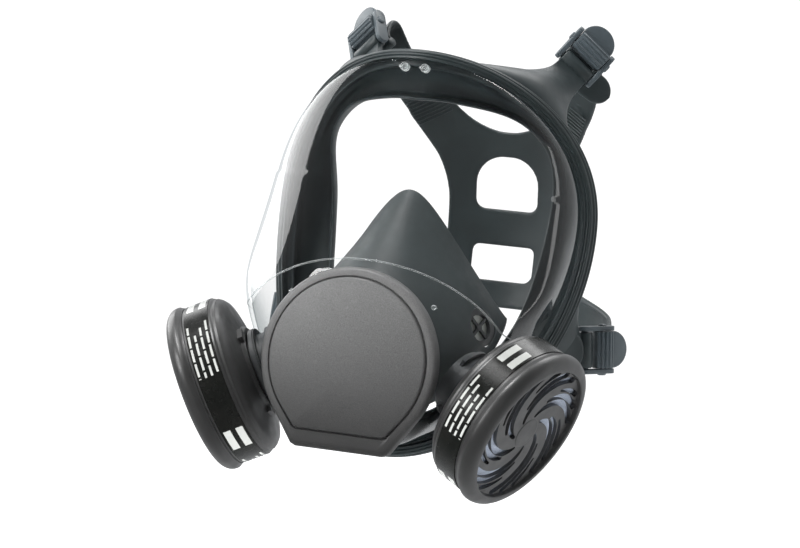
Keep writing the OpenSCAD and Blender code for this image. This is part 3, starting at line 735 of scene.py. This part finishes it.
def seal_section(t):
    """Section of the seal as [out of the rim, back from the rim], with a reflex lip."""
    chin = max(-math.sin(math.radians(t)), 0) ** 3
    side = t if t < 90 or t > 270 else 180 - t
    side = side - 360 if side > 270 else side
    # The lip is cut back round the upper corners, more slowly towards the brow
    corner_t = 38
    reach = 22 if side < corner_t else 42
    corner = 11.5 * math.exp(-(((side - corner_t) / reach) ** 2))
    lip, deep = 21.5 - 7 * chin - corner, 19.5 + 7 * chin
    wave = 0.5 * math.sin(math.radians(side * 9))
    edge = -lip + wave
    return np.array([
        # Ribs round the front of the rim
        [0.5, -3.0], [0.9, -3.5], [1.4, -3.4], [1.8, -2.9], [2.2, -3.4], [2.8, -3.4], [3.2, -2.8],
        [3.6, -3.0], [4.2, -2.8], [4.6, -2.0], [4.1, -1.0], [4.4, -0.2], [5.2, 0.4], [5.3, 1.4],
        [4.4, 2.2], [4.4, 3.2], [5.3, 4.0], [5.4, 5.0], [4.5, 5.9], [4.4, 7.2], [4.2, 8.8],
        # Outer face, back to the fold and in to the lip's edge
        [2, 12], [-2.5, deep - 3.6], [-lip * 0.45, deep - 0.6], [-lip * 0.74, deep],
        [-lip * 0.92, deep - 2.4], [edge - 0.4, deep - 8], [edge - 0.6, deep - 12],
        # Inner face, back to the rim
        [edge + 0.5, deep - 12.3], [-lip * 0.95 + 0.9, deep - 8], [-lip * 0.88 + 0.4, deep - 4.2],
        [-lip * 0.78, deep - 2.3], [-lip * 0.72, deep - 2.5], [-lip * 0.45, deep - 4.2],
        [-4.2, deep - 8.2], [-2.9, 8], [-3, 3.2], [0.6, 3],
    ])


def tab(name, buckle, low_t, high_t):
    """Sheet that leaves the rim between two rim angles and narrows to a buckle's base bar."""
    cells = 48
    u, v = np.meshgrid(np.linspace(0, 1, cells + 1), np.linspace(0, 1, cells + 1))
    t = low_t + (high_t - low_t) * u
    fan = np.radians(TAB_FAN * (2 * u - 1))[..., None]
    root = rim_offset(t, 1.5, 6)
    pull = in_buckle(buckle, 1, 0, 0) - buckle[0]
    along = unit(rim(t + 1) - rim(t - 1))
    leave = unit(pull * np.cos(fan) - along * np.sin(fan))
    end = in_buckle(buckle, -2.5, 0, 0) + (u - 0.5)[..., None] * TAB_END_W * across_buckle(buckle)
    reach = np.linalg.norm(end - root, axis=-1, keepdims=True)
    v = v[..., None]
    w = v * v * (3 - 2 * v)
    at_rim, at_bar = 1.1 * v * (1 - v) ** 2, 0.8 * v * v * (1 - v)
    middle = root * (1 - w) + end * w + leave * reach * at_rim - pull * reach * at_bar
    normal = unit(np.cross(np.gradient(middle, axis=1), np.gradient(middle, axis=0)))
    # The side edges are rounded over this many degrees of the rim
    round_t = 1.2
    rim_gap = np.minimum(u, 1 - u)[..., None] * (high_t - low_t)
    half = TAB_T / 2 * np.sqrt(np.clip(1 - (1 - np.clip(rim_gap / round_t, 0, 1)) ** 2, 0.06, 1))
    points = np.concatenate([(middle + normal * half * way).reshape(-1, 3) for way in (-1, 1)])
    return make_object(name, points, shell_faces(cells + 1, cells + 1))


def sleeve(buckle):
    """Rubber round the base bar of a buckle."""
    half = TAB_END_W / 2
    profile = [[2.2, -half], [3.4, -half], [3.9, -half + 0.5]]
    profile += [[3.9, half - 0.5], [3.4, half], [2.2, half]]
    return moved(turned("sleeve", profile, 40), buckle_matrix(buckle) @ rotation(x=90))


def low_pad():
    """Round pad that lies over the base of a low buckle."""
    profile = [[0, 1.8], [10, 1.8], [10.6, 2.3], [10.7, 3.0]]
    profile += [[10.4, 3.8], [9.6, 4.2], [8.9, 4.05], [0, 4.0]]
    pad = turned("pad", profile, 64)
    return moved(pad, buckle_matrix(LOW_BUCKLE) @ shift(-14, 0, 0))


def build_seal():
    rings = []
    for t in np.linspace(0, 360, 288, endpoint=False):
        out, back = np.hsplit(closed_curve(seal_section(t), 4), 2)
        rings.append(rim(t) + out * rim_out(t) + back * np.array([0, 1, 0]))
    parts = [swept("seal_ring", rings, closed=True)]
    for side in SIDES.values():
        pieces = [tab("top_tab", TOP_BUCKLE, 33, 80), tab("low_tab", LOW_BUCKLE, -42, -13)]
        pieces += [low_pad(), sleeve(TOP_BUCKLE), sleeve(LOW_BUCKLE)]
        parts += [moved(piece, mirror_if(side)) for piece in pieces]
    seal = join("rubber_face_seal", parts)
    finish_piece(crease_by_angle(seal, 60), "face_seal")


# --- nose cup

CUP_FRONT_Y, CUP_COLLAR_R, CUP_WALL = -36.4, 28.6, 1.8


def cup_edge(a):
    """Rear edge of the nose cup at angle a about the housing."""
    c, s = math.cos(a), math.sin(a)
    half_w, back_y, wide_z, chin_drop = 48, 30, -16, 39
    bridge_z, bridge_round, bridge_forward = 42, 20, 29
    if s < 0:
        x = half_w * math.copysign(abs(c) ** 1.5, c)
        return np.array([x, back_y - 10 * s * s, wide_z + chin_drop * s])
    x = half_w * math.copysign(abs(c) ** 1.2, c)
    rise = bridge_z + bridge_round - wide_z
    slope = math.sqrt(rise**2 - bridge_round**2) / half_w
    z = bridge_z + bridge_round - math.hypot(slope * x, bridge_round)
    return np.array([x, back_y - bridge_forward * s**1.55, z])


def cup_point(a, u, inset):
    """Point of the cup at angle a, a share u of the way from its collar to its rear edge."""
    collar = CUP_COLLAR_R + 3.2 - inset
    front = np.array([collar * math.cos(a), CUP_FRONT_Y, COVER_Z + collar * math.sin(a)])
    edge = cup_edge(a)
    swell = 9 * math.sin(math.pi * u) * (0.15 + 0.85 * math.cos(a) ** 2)
    out = unit(np.array([edge[0], 0, edge[2] + 20]))
    return front + (edge - front) * u + out * (swell - inset * u)


def build_nose_cup():
    steps = 40
    rings = []
    for a in np.linspace(0, 2 * math.pi, 180, endpoint=False):
        outer = [cup_point(a, u, 0) for u in np.linspace(0, 1, steps)]
        inner = [cup_point(a, u, CUP_WALL) for u in np.linspace(1, 0, steps)]
        rings.append(outer + inner)
    cup = swept("rubber_nose_cup", rings, closed=True)
    # Room for a check valve's flap, with a wider step for its seat
    step = [[0, -15], [8.3, -15], [8.3, 1.1], [9.9, 1.1], [9.9, 15], [0, 15]]
    cut(cup, [moved(turned("hole", step, 48), cup_valve_matrix(s)) for s in SIDES.values()])
    finish_piece(crease_by_angle(cup, 50), "nose_cup", look="cup_rubber")


def cup_valve_matrix(side):
    return mirror_if(side) @ shift(42.5, 1, -22) @ rotation(y=78, z=-28)


# --- front cover


def cover_outline(r, bottom_half, bottom_z, count=160):
    """Closed [x, z] outline: a disc with straight sides down to a flat bottom."""
    arc = np.radians(np.linspace(-36, 216, count))
    points = [(r * math.cos(a), COVER_Z + r * math.sin(a)) for a in arc]
    left, right = np.array([-bottom_half, bottom_z]), np.array([bottom_half, bottom_z])
    start, end = np.array(points[-1]), np.array(points[0])
    points += [tuple(start + (left - start) * f) for f in np.linspace(0.05, 0.93, 14)]
    points += [tuple(left + (right - left) * f) for f in np.linspace(0.04, 0.96, 30)]
    points += [tuple(right + (end - right) * f) for f in np.linspace(0.07, 0.95, 14)]
    return np.array(points)


def cover_ring(outline, y, scale=1.0):
    """Ring at a depth from an [x, z] outline, scaled about the middle of the cover's face."""
    middle = COVER_Z - 6
    z = middle + (outline[:, 1] - middle) * scale
    return np.column_stack([outline[:, 0] * scale, np.full(len(outline), y), z])


def build_cover():
    # Each outline: radius, half width of the bottom, height of the bottom
    outer, face = (44.5, 24.0, -87.0), (39.5, 23.0, -78.0)
    # Each level: shrink of an outline, depth, outline
    levels = [
        (0.0, -53.4, outer), (0.0, -57.8, outer), (0.3, -58.8, outer), (0.9, -59.5, outer),
        (1.8, -59.9, outer), (3.2, -60.0, outer), (-1.0, -60.0, face), (-0.8, -59.8, face),
        (-0.7, -59.0, face), (-0.25, -58.9, face), (-0.1, -59.4, face), (0.0, -60.2, face),
        (0.15, -60.7, face), (0.5, -61.0, face), (1.1, -61.15, face),
    ]
    inside = [(2.0, -53.4, outer), (2.2, -57.2, outer), (3.0, -57.9, outer), (6.0, -58.0, outer)]
    rings, back = [], []
    for line, rows in ((rings, levels), (back, inside)):
        for shrink, y, (r, half, bottom) in rows:
            outline = cover_outline(r - shrink, half - shrink * 0.8, bottom + shrink)
            line.append(cover_ring(outline, y))
    # The face is a shallow dome, and the inside is flat
    base, face_y, dome = cover_outline(38.4, 22.1, -76.9), -61.15, 3.35
    for scale in np.linspace(0.99, 0.06, 26):
        rings.append(cover_ring(base, face_y - dome * (1 - scale**2), scale))
    back += [cover_ring(cover_outline(38.5, 20.0, -81), -58.0, scale) for scale in (0.5, 0.06)]
    cover = swept("grey_front_cover", back[::-1] + rings)
    finish_piece(crease_by_angle(cover, 40), "front_cover")


# --- cartridges


def arc_points(centre, radius, start, end, steps):
    return [
        (centre[0] + radius * math.cos(a), centre[1] + radius * math.sin(a))
        for a in np.radians(np.linspace(start, end, steps))
    ]


def slot_outline(start_r, end_r, half):
    """Outline of a spiral slot with rounded ends, narrow where it starts."""
    swirl = -3.4
    radii = np.linspace(start_r, end_r, 26)
    a = np.radians(swirl * (radii - end_r))
    way = a + np.arctan(radii * math.radians(swirl))
    wide = half * np.clip(0.5 + (radii - start_r) / 12, 0, 1)
    middle = np.stack([radii * np.cos(a), radii * np.sin(a)], -1)
    side = np.stack([-np.sin(way), np.cos(way)], -1) * wide[:, None]
    ahead = np.stack([np.cos(way), np.sin(way)], -1) * wide[:, None]
    points = list(middle - side)
    for f in np.radians((-45, 0, 45)):
        points.append(middle[-1] + side[-1] * math.sin(f) + ahead[-1] * math.cos(f))
    points += list((middle + side)[::-1])
    for f in np.radians((45, 0, -45)):
        points.append(middle[0] + side[0] * math.sin(f) - ahead[0] * math.cos(f))
    return np.array(points)


def cap_mesh():
    """Cap with a flared skirt, a full round rim and a recessed grille of spiral slots."""
    floor, skirt = CAP_FRONT - 2.4, CAP_FRONT - 9.2
    profile = [(0.0, floor - 2), (BODY_R - 1.6, floor - 2), (BODY_R - 1.6, skirt)]
    profile += [(BODY_R + 0.3, skirt), (BODY_R + 0.5, skirt + 0.6), (BODY_R + 0.9, skirt + 1.4)]
    profile += arc_points((CAP_R - 5.6, CAP_FRONT - 5.6), 5.6, -8, 88, 22)
    profile += [(35.9, CAP_FRONT - 0.05), (35.5, CAP_FRONT - 0.35), (35.2, CAP_FRONT - 1.2)]
    profile += [(35.0, floor + 0.15), (34.6, floor), (8.0, floor), (7.6, floor + 0.25)]
    profile += [(7.0, floor + 0.3), (0.0, floor + 0.3)]
    cap = turned("cap", profile, 180)
    slots = []
    groups = 7
    for k in range(groups):
        for start_r, turn, half in ((9.5, 0, 1.8), (18, 14.7, 1.65), (26, 29.0, 1.45)):
            slot = prism("slot", slot_outline(start_r, 33.8, half), CAP_FRONT - 6, CAP_FRONT)
            slots.append(moved(slot, rotation(z=360 * k / groups + turn)))
    return crease_by_angle(cut(cap, [join("slots", slots)]), 32)


def build_cartridges():
    cap = cap_mesh()
    body_front = CAP_FRONT - 9.4
    body_profile = [
        (18.4, 4.4), (21.0, 4.4), (21.6, 4.9), (22.4, 6.2), (24.5, 6.9), (33.0, 8.6), (36.6, 9.6),
        (38.4, 11.2), (38.9, 12.2), (39.2, 12.4), (39.3, 13.6), (39.9, 14.2), (BODY_R, 14.8),
        (BODY_R, body_front), (BODY_R - 1.8, body_front), (BODY_R - 1.8, 13.6), (19.6, 13.4),
        (19.5, 11.0), (14.0, 11.0), (14.0, 9.6), (18.4, 9.6),
    ]
    body = turned("body", body_profile, 160)
    lugs = []
    for k in range(3):
        lug = prism("lug", [(20.5, -4), (24.4, -3.4), (24.4, 3.4), (20.5, 4)], 4.5, 7.2)
        lugs.append(moved(lug, rotation(z=120 * k + 20)))
    body = crease_by_angle(join("body", [body] + lugs), 32)
    pad_profile = [(0, 27.2), (37.6, 27.2), (37.9, 27.6), (37.9, 32.6), (37.2, 33.2), (0, 33.2)]
    pad = crease_by_angle(turned("pad", pad_profile, 96), 40)
    labels = {side: label_mesh(side) for side in SIDES.values()}
    for name, side in SIDES.items():
        sources = {"cartridge_cap": cap, "cartridge_body": body}
        sources.update(cartridge_label=labels[side], filter_pad=pad)
        for node, source in sources.items():
            piece = moved(copy_of(source, f"{name}_{node}_shell"), port_matrix(side))
            finish_piece(piece, f"{node}_{name}")
    remove([cap, body, pad, *labels.values()])


def label_mesh(side):
    """Thin film round the body, with a UV map that runs around it and along it."""
    low, high = 15.4, 28.0
    inner_r, outer_r = BODY_R + 0.06, BODY_R + 0.45
    section = [(inner_r, low), (outer_r, low + 0.1), (outer_r, high - 0.1), (inner_r, high)]
    turns = np.linspace(0, 2 * math.pi, 240, endpoint=False)
    rings = [[(r * math.cos(a), r * math.sin(a), z) for r, z in section] for a in turns]
    label = swept("label", rings, closed=True)
    mesh = label.data
    uv = mesh.uv_layers.new(name="around")
    # Share of a turn by which the right label's print is turned to lie as in the photograph
    right_turn = 0.053
    for face in mesh.polygons:
        corners = [mesh.vertices[v].co for v in face.vertices]
        spin = [math.atan2(co.y, co.x) / (2 * math.pi) % 1 for co in corners]
        if max(spin) - min(spin) > 0.5:
            spin = [s + 1 if s < 0.5 else s for s in spin]
        if side > 0:
            # The mirrored label would be printed backwards
            spin = [right_turn - s for s in spin]
        for loop, s in zip(face.loop_indices, spin):
            height = mesh.vertices[mesh.loops[loop].vertex_index].co.z / MM
            uv.data[loop].uv = (s, (height - low) / (high - low))
    return crease_by_angle(label, 40)


# --- harness


# The plate lies on an ellipsoid about the size of a head
HEAD_Y, HEAD_Z = 20, 10
HEAD_ACROSS, HEAD_DEEP, HEAD_TALL = 105, 141, 152
PLATE_HALF_W, PLATE_HALF_T, WINDOW_HALF_W = 31.5, 1.5, 17.5
ARM_START, ARM_WAY = np.array([22.0, 62.0]), unit([17.0, 28.0])
VOXEL = 0.7


def head_y(x, z):
    inside = 1 - (x / HEAD_ACROSS) ** 2 - ((z - HEAD_Z) / HEAD_TALL) ** 2
    return HEAD_Y + HEAD_DEEP * np.sqrt(np.maximum(inside, 0.02))


def on_head(x, z):
    return np.array([x, float(head_y(x, z)), z])


def rounded_rectangle(half_w, low, high, low_r, high_r, steps=8):
    points = []
    for x, z, r, start in ((1, high - high_r, high_r, 0), (-1, high - high_r, high_r, 90),
                           (-1, low + low_r, low_r, 180), (1, low + low_r, low_r, 270)):
        points += arc_points((x * (half_w - r), z), r, start, start + 90, steps)
    return points


def hull_outline(a, ra, b, rb, steps=16):
    """Outline of two discs with a tight band round them."""
    a, b = np.array(a, float), np.array(b, float)
    away = np.linalg.norm(b - a)
    turn = math.degrees(math.atan2(b[1] - a[1], b[0] - a[0]))
    lean = math.degrees(math.acos((ra - rb) / away))
    return (
        arc_points(b, rb, turn - lean, turn + lean, steps)
        + arc_points(a, ra, turn + lean, turn + 360 - lean, steps)
    )


def blend(obj, smoothing):
    """Melts overlapping solids into one skin and rounds it."""
    add_modifier(obj, "REMESH", mode="VOXEL", voxel_size=VOXEL * MM)
    add_modifier(obj, "SMOOTH", factor=0.5, iterations=smoothing)
    return settle(obj)


def harness_plate():
    """Plate behind the head: a flat slab cut out and rounded, then bent round the head."""
    def flat(outline, half_t=PLATE_HALF_T):
        return prism("flat", outline, -half_t, half_t)

    slab = flat(rounded_rectangle(PLATE_HALF_W, -12, 98, 8, 8))
    additions = []
    for side in SIDES.values():
        additions.append(flat(hull_outline((side * 22, 62), 10, (side * 39, 90), 11)))
        # Fillet between the plate's side and the arm
        fillet = arc_points((side * 91.5, 41.3), 60, 90 + side * 90, 90 + side * 58.5, 10)
        fillet.append((side * 28, 58))
        additions.append(flat(fillet[::side]))
    cut(slab, additions, "UNION")
    cut(slab, [
        flat(rounded_rectangle(WINDOW_HALF_W, 41, 69, 5, 15), 3),
        flat(rounded_rectangle(WINDOW_HALF_W, 2.5, 21.5, 5, 3.5), 3),
        flat(arc_points((0, 118), 36, 0, 355, 72), 3),
    ])
    blend(slab, 6)
    co = np.array([v.co for v in slab.data.vertices]) / MM
    # The smoothed slab is pressed to the thickness of the CAD's plate
    x, z, lift = co[:, 0], co[:, 1], co[:, 2] * 0.87
    y = head_y(x, z)
    slopes = x / HEAD_ACROSS**2, (y - HEAD_Y) / HEAD_DEEP**2, (z - HEAD_Z) / HEAD_TALL**2
    bent = np.stack([x, y, z], -1) + unit(np.stack(slopes, -1)) * lift[:, None]
    slab.data.vertices.foreach_set("co", (bent * MM).ravel())
    return weld(slab)


def arm_ridges():
    """Ridges across the plate's right arm, on the side towards the face."""
    count, first, pitch, half_length, stops = 8, 29, 1.6, 9.6, 9
    across = np.array([ARM_WAY[1], -ARM_WAY[0]])
    ridges = []
    for k in range(count):
        middle = ARM_START + ARM_WAY * (first + pitch * k)
        line = [middle + across * f for f in np.linspace(-half_length, half_length, stops)]
        path = [on_head(x, z) + np.array([-0.4, -1.35, -0.8]) for x, z in line]
        wide_way = (ARM_WAY[0], 0, ARM_WAY[1])
        ridges.append(band("ridge", path, [0.9] * stops, [wide_way] * stops, 1.0, 24))
    return ridges


STRAP_T = 2.6


def top_strap():
    path = [on_head(30, 76), on_head(39, 90), on_head(45, 101), (51, 102, 112)]
    path += [in_buckle(TOP_BUCKLE, x, 0, z) for x, z in ((19, -13), (11, -7.6), (4.5, -7.4))]
    across = [(0.8, -0.1, -0.59), (0.8, -0.05, -0.59), (0.8, 0.1, -0.56)]
    across += [-across_buckle(TOP_BUCKLE)] * 4
    return band("top_strap", path, [8, 20, 23, 20, 18, 18, 18], across, STRAP_T, 160)


def low_strap():
    path = [on_head(26, -2), on_head(52, -10), on_head(76, -18)]
    path += [in_buckle(LOW_BUCKLE, x, 0, z) for x, z in ((22, -10), (12, -6.6), (4.5, -6.6))]
    across = [(0, 0, 1)] * 2 + [across_buckle(LOW_BUCKLE)] * 4
    return band("low_strap", path, [18] * 6, across, STRAP_T, 120)


def top_tail():
    """Loose end of a top strap below its buckle, with a round tip."""
    start, end, width = np.array([50, 79.5, 114]), np.array([68.5, 93, 102]), 15.5
    straight = 0.66
    tip = 1 - straight
    along = np.concatenate([
        np.linspace(0, straight, 10), straight + tip * np.sin(np.radians(np.linspace(8, 90, 12)))
    ])
    narrowing = np.clip(1 - (np.clip(along - straight, 0, 1) / tip) ** 2, 0.004, 1)
    path = start + along[:, None] * (end - start)
    across = [(0.25, 0.36, 0.9)] * len(along)
    return band("top_tail", path, width * np.sqrt(narrowing), across, STRAP_T, 90)


def top_fold():
    """Bight of a top strap round the pin side of its buckle."""
    half = 8.5
    profile = [[0, -half], [2.4, -half], [2.8, -half + 0.4]]
    profile += [[2.8, half - 0.4], [2.4, half], [0, half]]
    place = buckle_matrix(TOP_BUCKLE) @ shift(3.6, 0, -8.9) @ rotation(x=90)
    return moved(turned("fold", profile, 24), place)


def build_harness():
    parts, details = [harness_plate()], []
    for side in SIDES.values():
        parts += [moved(piece, mirror_if(side)) for piece in (top_strap(), low_strap())]
        extras = [top_tail(), top_fold()] + arm_ridges()
        details += [moved(piece, mirror_if(side)) for piece in extras]
    moulding = blend(join("moulding", parts), 5)
    harness = join("rubber_harness", [moulding] + details)
    finish_piece(crease_by_angle(harness, 50), "harness")


# --- buckles


def bevelled(obj, width, segments, angle=40):
    add_modifier(
        obj, "BEVEL", width=width * MM, segments=segments, limit_method="ANGLE",
        angle_limit=math.radians(angle), harden_normals=False,
    )
    return settle(obj)


def frame_mesh():
    parts = []
    for way in (-1, 1):
        arm_line = hull_outline((0, 0), 3.5, (CAM_X + 3.6, CAM_Z), 3.499)
        arm = bevelled(prism("arm", arm_line, -ARM_T / 2, ARM_T / 2), 0.45, 3)
        moved(arm, shift(0, way * (BUCKLE_W + ARM_T) / 2, 0) @ rotation(x=90))
        nub = turned("nub", [[0, 0], [2.3, 0], [2.2, 0.5], [1.7, 0.9], [0, 1.0]], 24)
        nub_place = shift(CAM_X, way * (BUCKLE_W / 2 + ARM_T), CAM_Z)
        moved(nub, nub_place @ rotation(x=-90 * way))
        parts += [arm, nub]
    half = BUCKLE_W / 2 + 0.4
    bar = turned("bar", [[0, -half], [2, -half], [2, half], [0, half]], 24)
    parts.append(moved(bar, rotation(x=90)))
    return crease_by_angle(join("frame", parts), 35)


def lever_mesh():
    """Ribbed cam with a half-round thumb plate."""
    half, half_t = (BUCKLE_W - 0.8) / 2, 1.2
    # Ridges every 24 degrees over the cam's top
    ridges_per_turn, first_ridge, ridge_height = 15, 30, 1.0
    outline = []
    for a in np.linspace(0, 360, 180, endpoint=False):
        wave = 0.5 * (1 + math.cos(math.radians((a - first_ridge) * ridges_per_turn)))
        ridge = min(1.0, wave * 1.6) if 18 < a < 162 else 0.0
        r = CAM_R - 0.25 + ridge_height * ridge
        outline.append((r * math.cos(math.radians(a)), r * math.sin(math.radians(a))))
    cam = bevelled(prism("cam", outline, -half, half), 0.35, 2, 60)
    moved(cam, shift(CAM_X, 0, CAM_Z) @ rotation(x=90))
    inner_x, round_x = 3.0, 6.5
    plate_line = [(inner_x, -half), (round_x, -half)]
    plate_line += arc_points((round_x, 0), half + 0.2, -84, 84, 40)
    plate_line += [(round_x, half), (inner_x, half)]
    plate = bevelled(prism("plate", plate_line, -half_t, half_t), 0.8, 4)
    moved(plate, shift(CAM_X, 0, CAM_Z))
    return crease_by_angle(join("lever", [cam, plate]), 35)


def build_buckles():
    frame_source, lever_source = frame_mesh(), lever_mesh()
    for level, buckle in (("top", TOP_BUCKLE), ("low", LOW_BUCKLE)):
        for name, side in SIDES.items():
            place = mirror_if(side) @ buckle_matrix(buckle)
            for source, node in ((frame_source, "buckle_frame"), (lever_source, "buckle_lever")):
                piece = moved(copy_of(source, f"{level}_{name}_{node}_piece"), place)
                finish_piece(piece, f"{node}_{level}_{name}")
    remove([frame_source, lever_source])


# --- the object

build_lens()
build_seal()
build_nose_cup()
build_cover()
build_cartridges()
build_harness()
build_buckles()
for node, obj in frame["nodes"].items():
    if not obj.hide_render:
        paint(obj, NODE_SLOT[node])
        crease_by_angle(obj, 30)

# --- stage, light and camera

scene = bpy.context.scene
scene.view_settings.view_transform = "Standard"


WHITE = (1, 1, 1, 1)


def build_stage():
    gap, radius, sides = 120, 4000, 96
    floor_z = cad_box[0][2] / MM - gap
    turns = np.linspace(0, 2 * math.pi, sides, endpoint=False)
    ring = [(radius * math.cos(a), radius * math.sin(a), floor_z) for a in turns]
    floor = make_object("floor", ring, [tuple(range(sides))])
    floor.data.materials.append(material_graph("floor_white").principled(
        Base_Color=(0.9, 0.9, 0.9, 1), Roughness=0.9, Emission_Color=WHITE, Emission_Strength=0.95
    ))
    # Left out of reflections, where it would lighten the cover and dapple the lens
    floor.visible_glossy = False


def area_light(name, place, target, size, power):
    data = bpy.data.lights.new(name, "AREA")
    data.shape = "RECTANGLE"
    data.size, data.size_y = size
    data.energy = power
    lamp = link(bpy.data.objects.new(name, data))
    lamp.location = place
    lamp.rotation_euler = (Vector(target) - Vector(place)).to_track_quat("-Z", "Y").to_euler()
    return lamp


def build_light():
    world = bpy.data.worlds.new("studio")
    scene.world = world
    g = Graph(world, "OutputWorld")
    way = g.add("TexCoord").outputs["Generated"]
    back = g.add("SeparateXYZ", {"Vector": way}).outputs["Y"]
    # The camera sees white; the mask is lit more from behind than from in front
    seen = g.add("Background", {"Color": WHITE, "Strength": 1.12}).outputs[0]
    glow = {"Color": (0.96, 0.98, 1.0, 1), "Strength": g.ramp(back, -0.3, 0.6, 0.1, 0.75)}
    lit = g.add("Background", glow).outputs[0]
    to_camera = g.add("LightPath").outputs["Is Camera Ray"]
    g.finish(g.mix_shaders(to_camera, lit, seen))
    area_light("key", (-0.45, -0.55, 1.25), (0, 0, 0), (0.7, 0.5), 20)
    area_light("brow", (-0.9, -1.0, 0.36), (0, 0, 0), (0.5, 0.4), 9)
    area_light("crown", (0.2, 0.6, 1.2), (0, 0.05, 0), (0.8, 0.5), 8)
    # These two only put their reflections on the lens and the plastics
    sheen = area_light("sheen", (-1.5, 0.65, 0.7), (0, 0, 0.03), (1.2, 1.1), 14)
    strip = area_light("strip", (1.5, 0.5, 0.3), (0, 0, 0.05), (0.12, 1.3), 1.2)
    for lamp in (sheen, strip):
        lamp.visible_diffuse = False


def build_camera():
    """Camera at the photograph's viewing angle: level, 20 degrees round from the front, rolled."""
    azimuth, roll, distance = math.radians(20), math.radians(6.5), 1.5
    picture_width, pixels_per_metre = 800, 2030.0
    data = bpy.data.cameras.new("camera")
    data.sensor_width = 36
    data.lens = pixels_per_metre * distance * data.sensor_width / picture_width
    data.clip_start, data.clip_end = 0.05, 20
    camera = link(bpy.data.objects.new("camera", data))
    back = Vector((math.sin(azimuth), -math.cos(azimuth), 0))
    camera.matrix_world = (
        Matrix.Translation(back * distance)
        @ back.to_track_quat("Z", "Y").to_matrix().to_4x4()
        @ Matrix.Rotation(roll, 4, "Z")
    )
    scene.camera = camera


build_stage()
build_light()
build_camera()
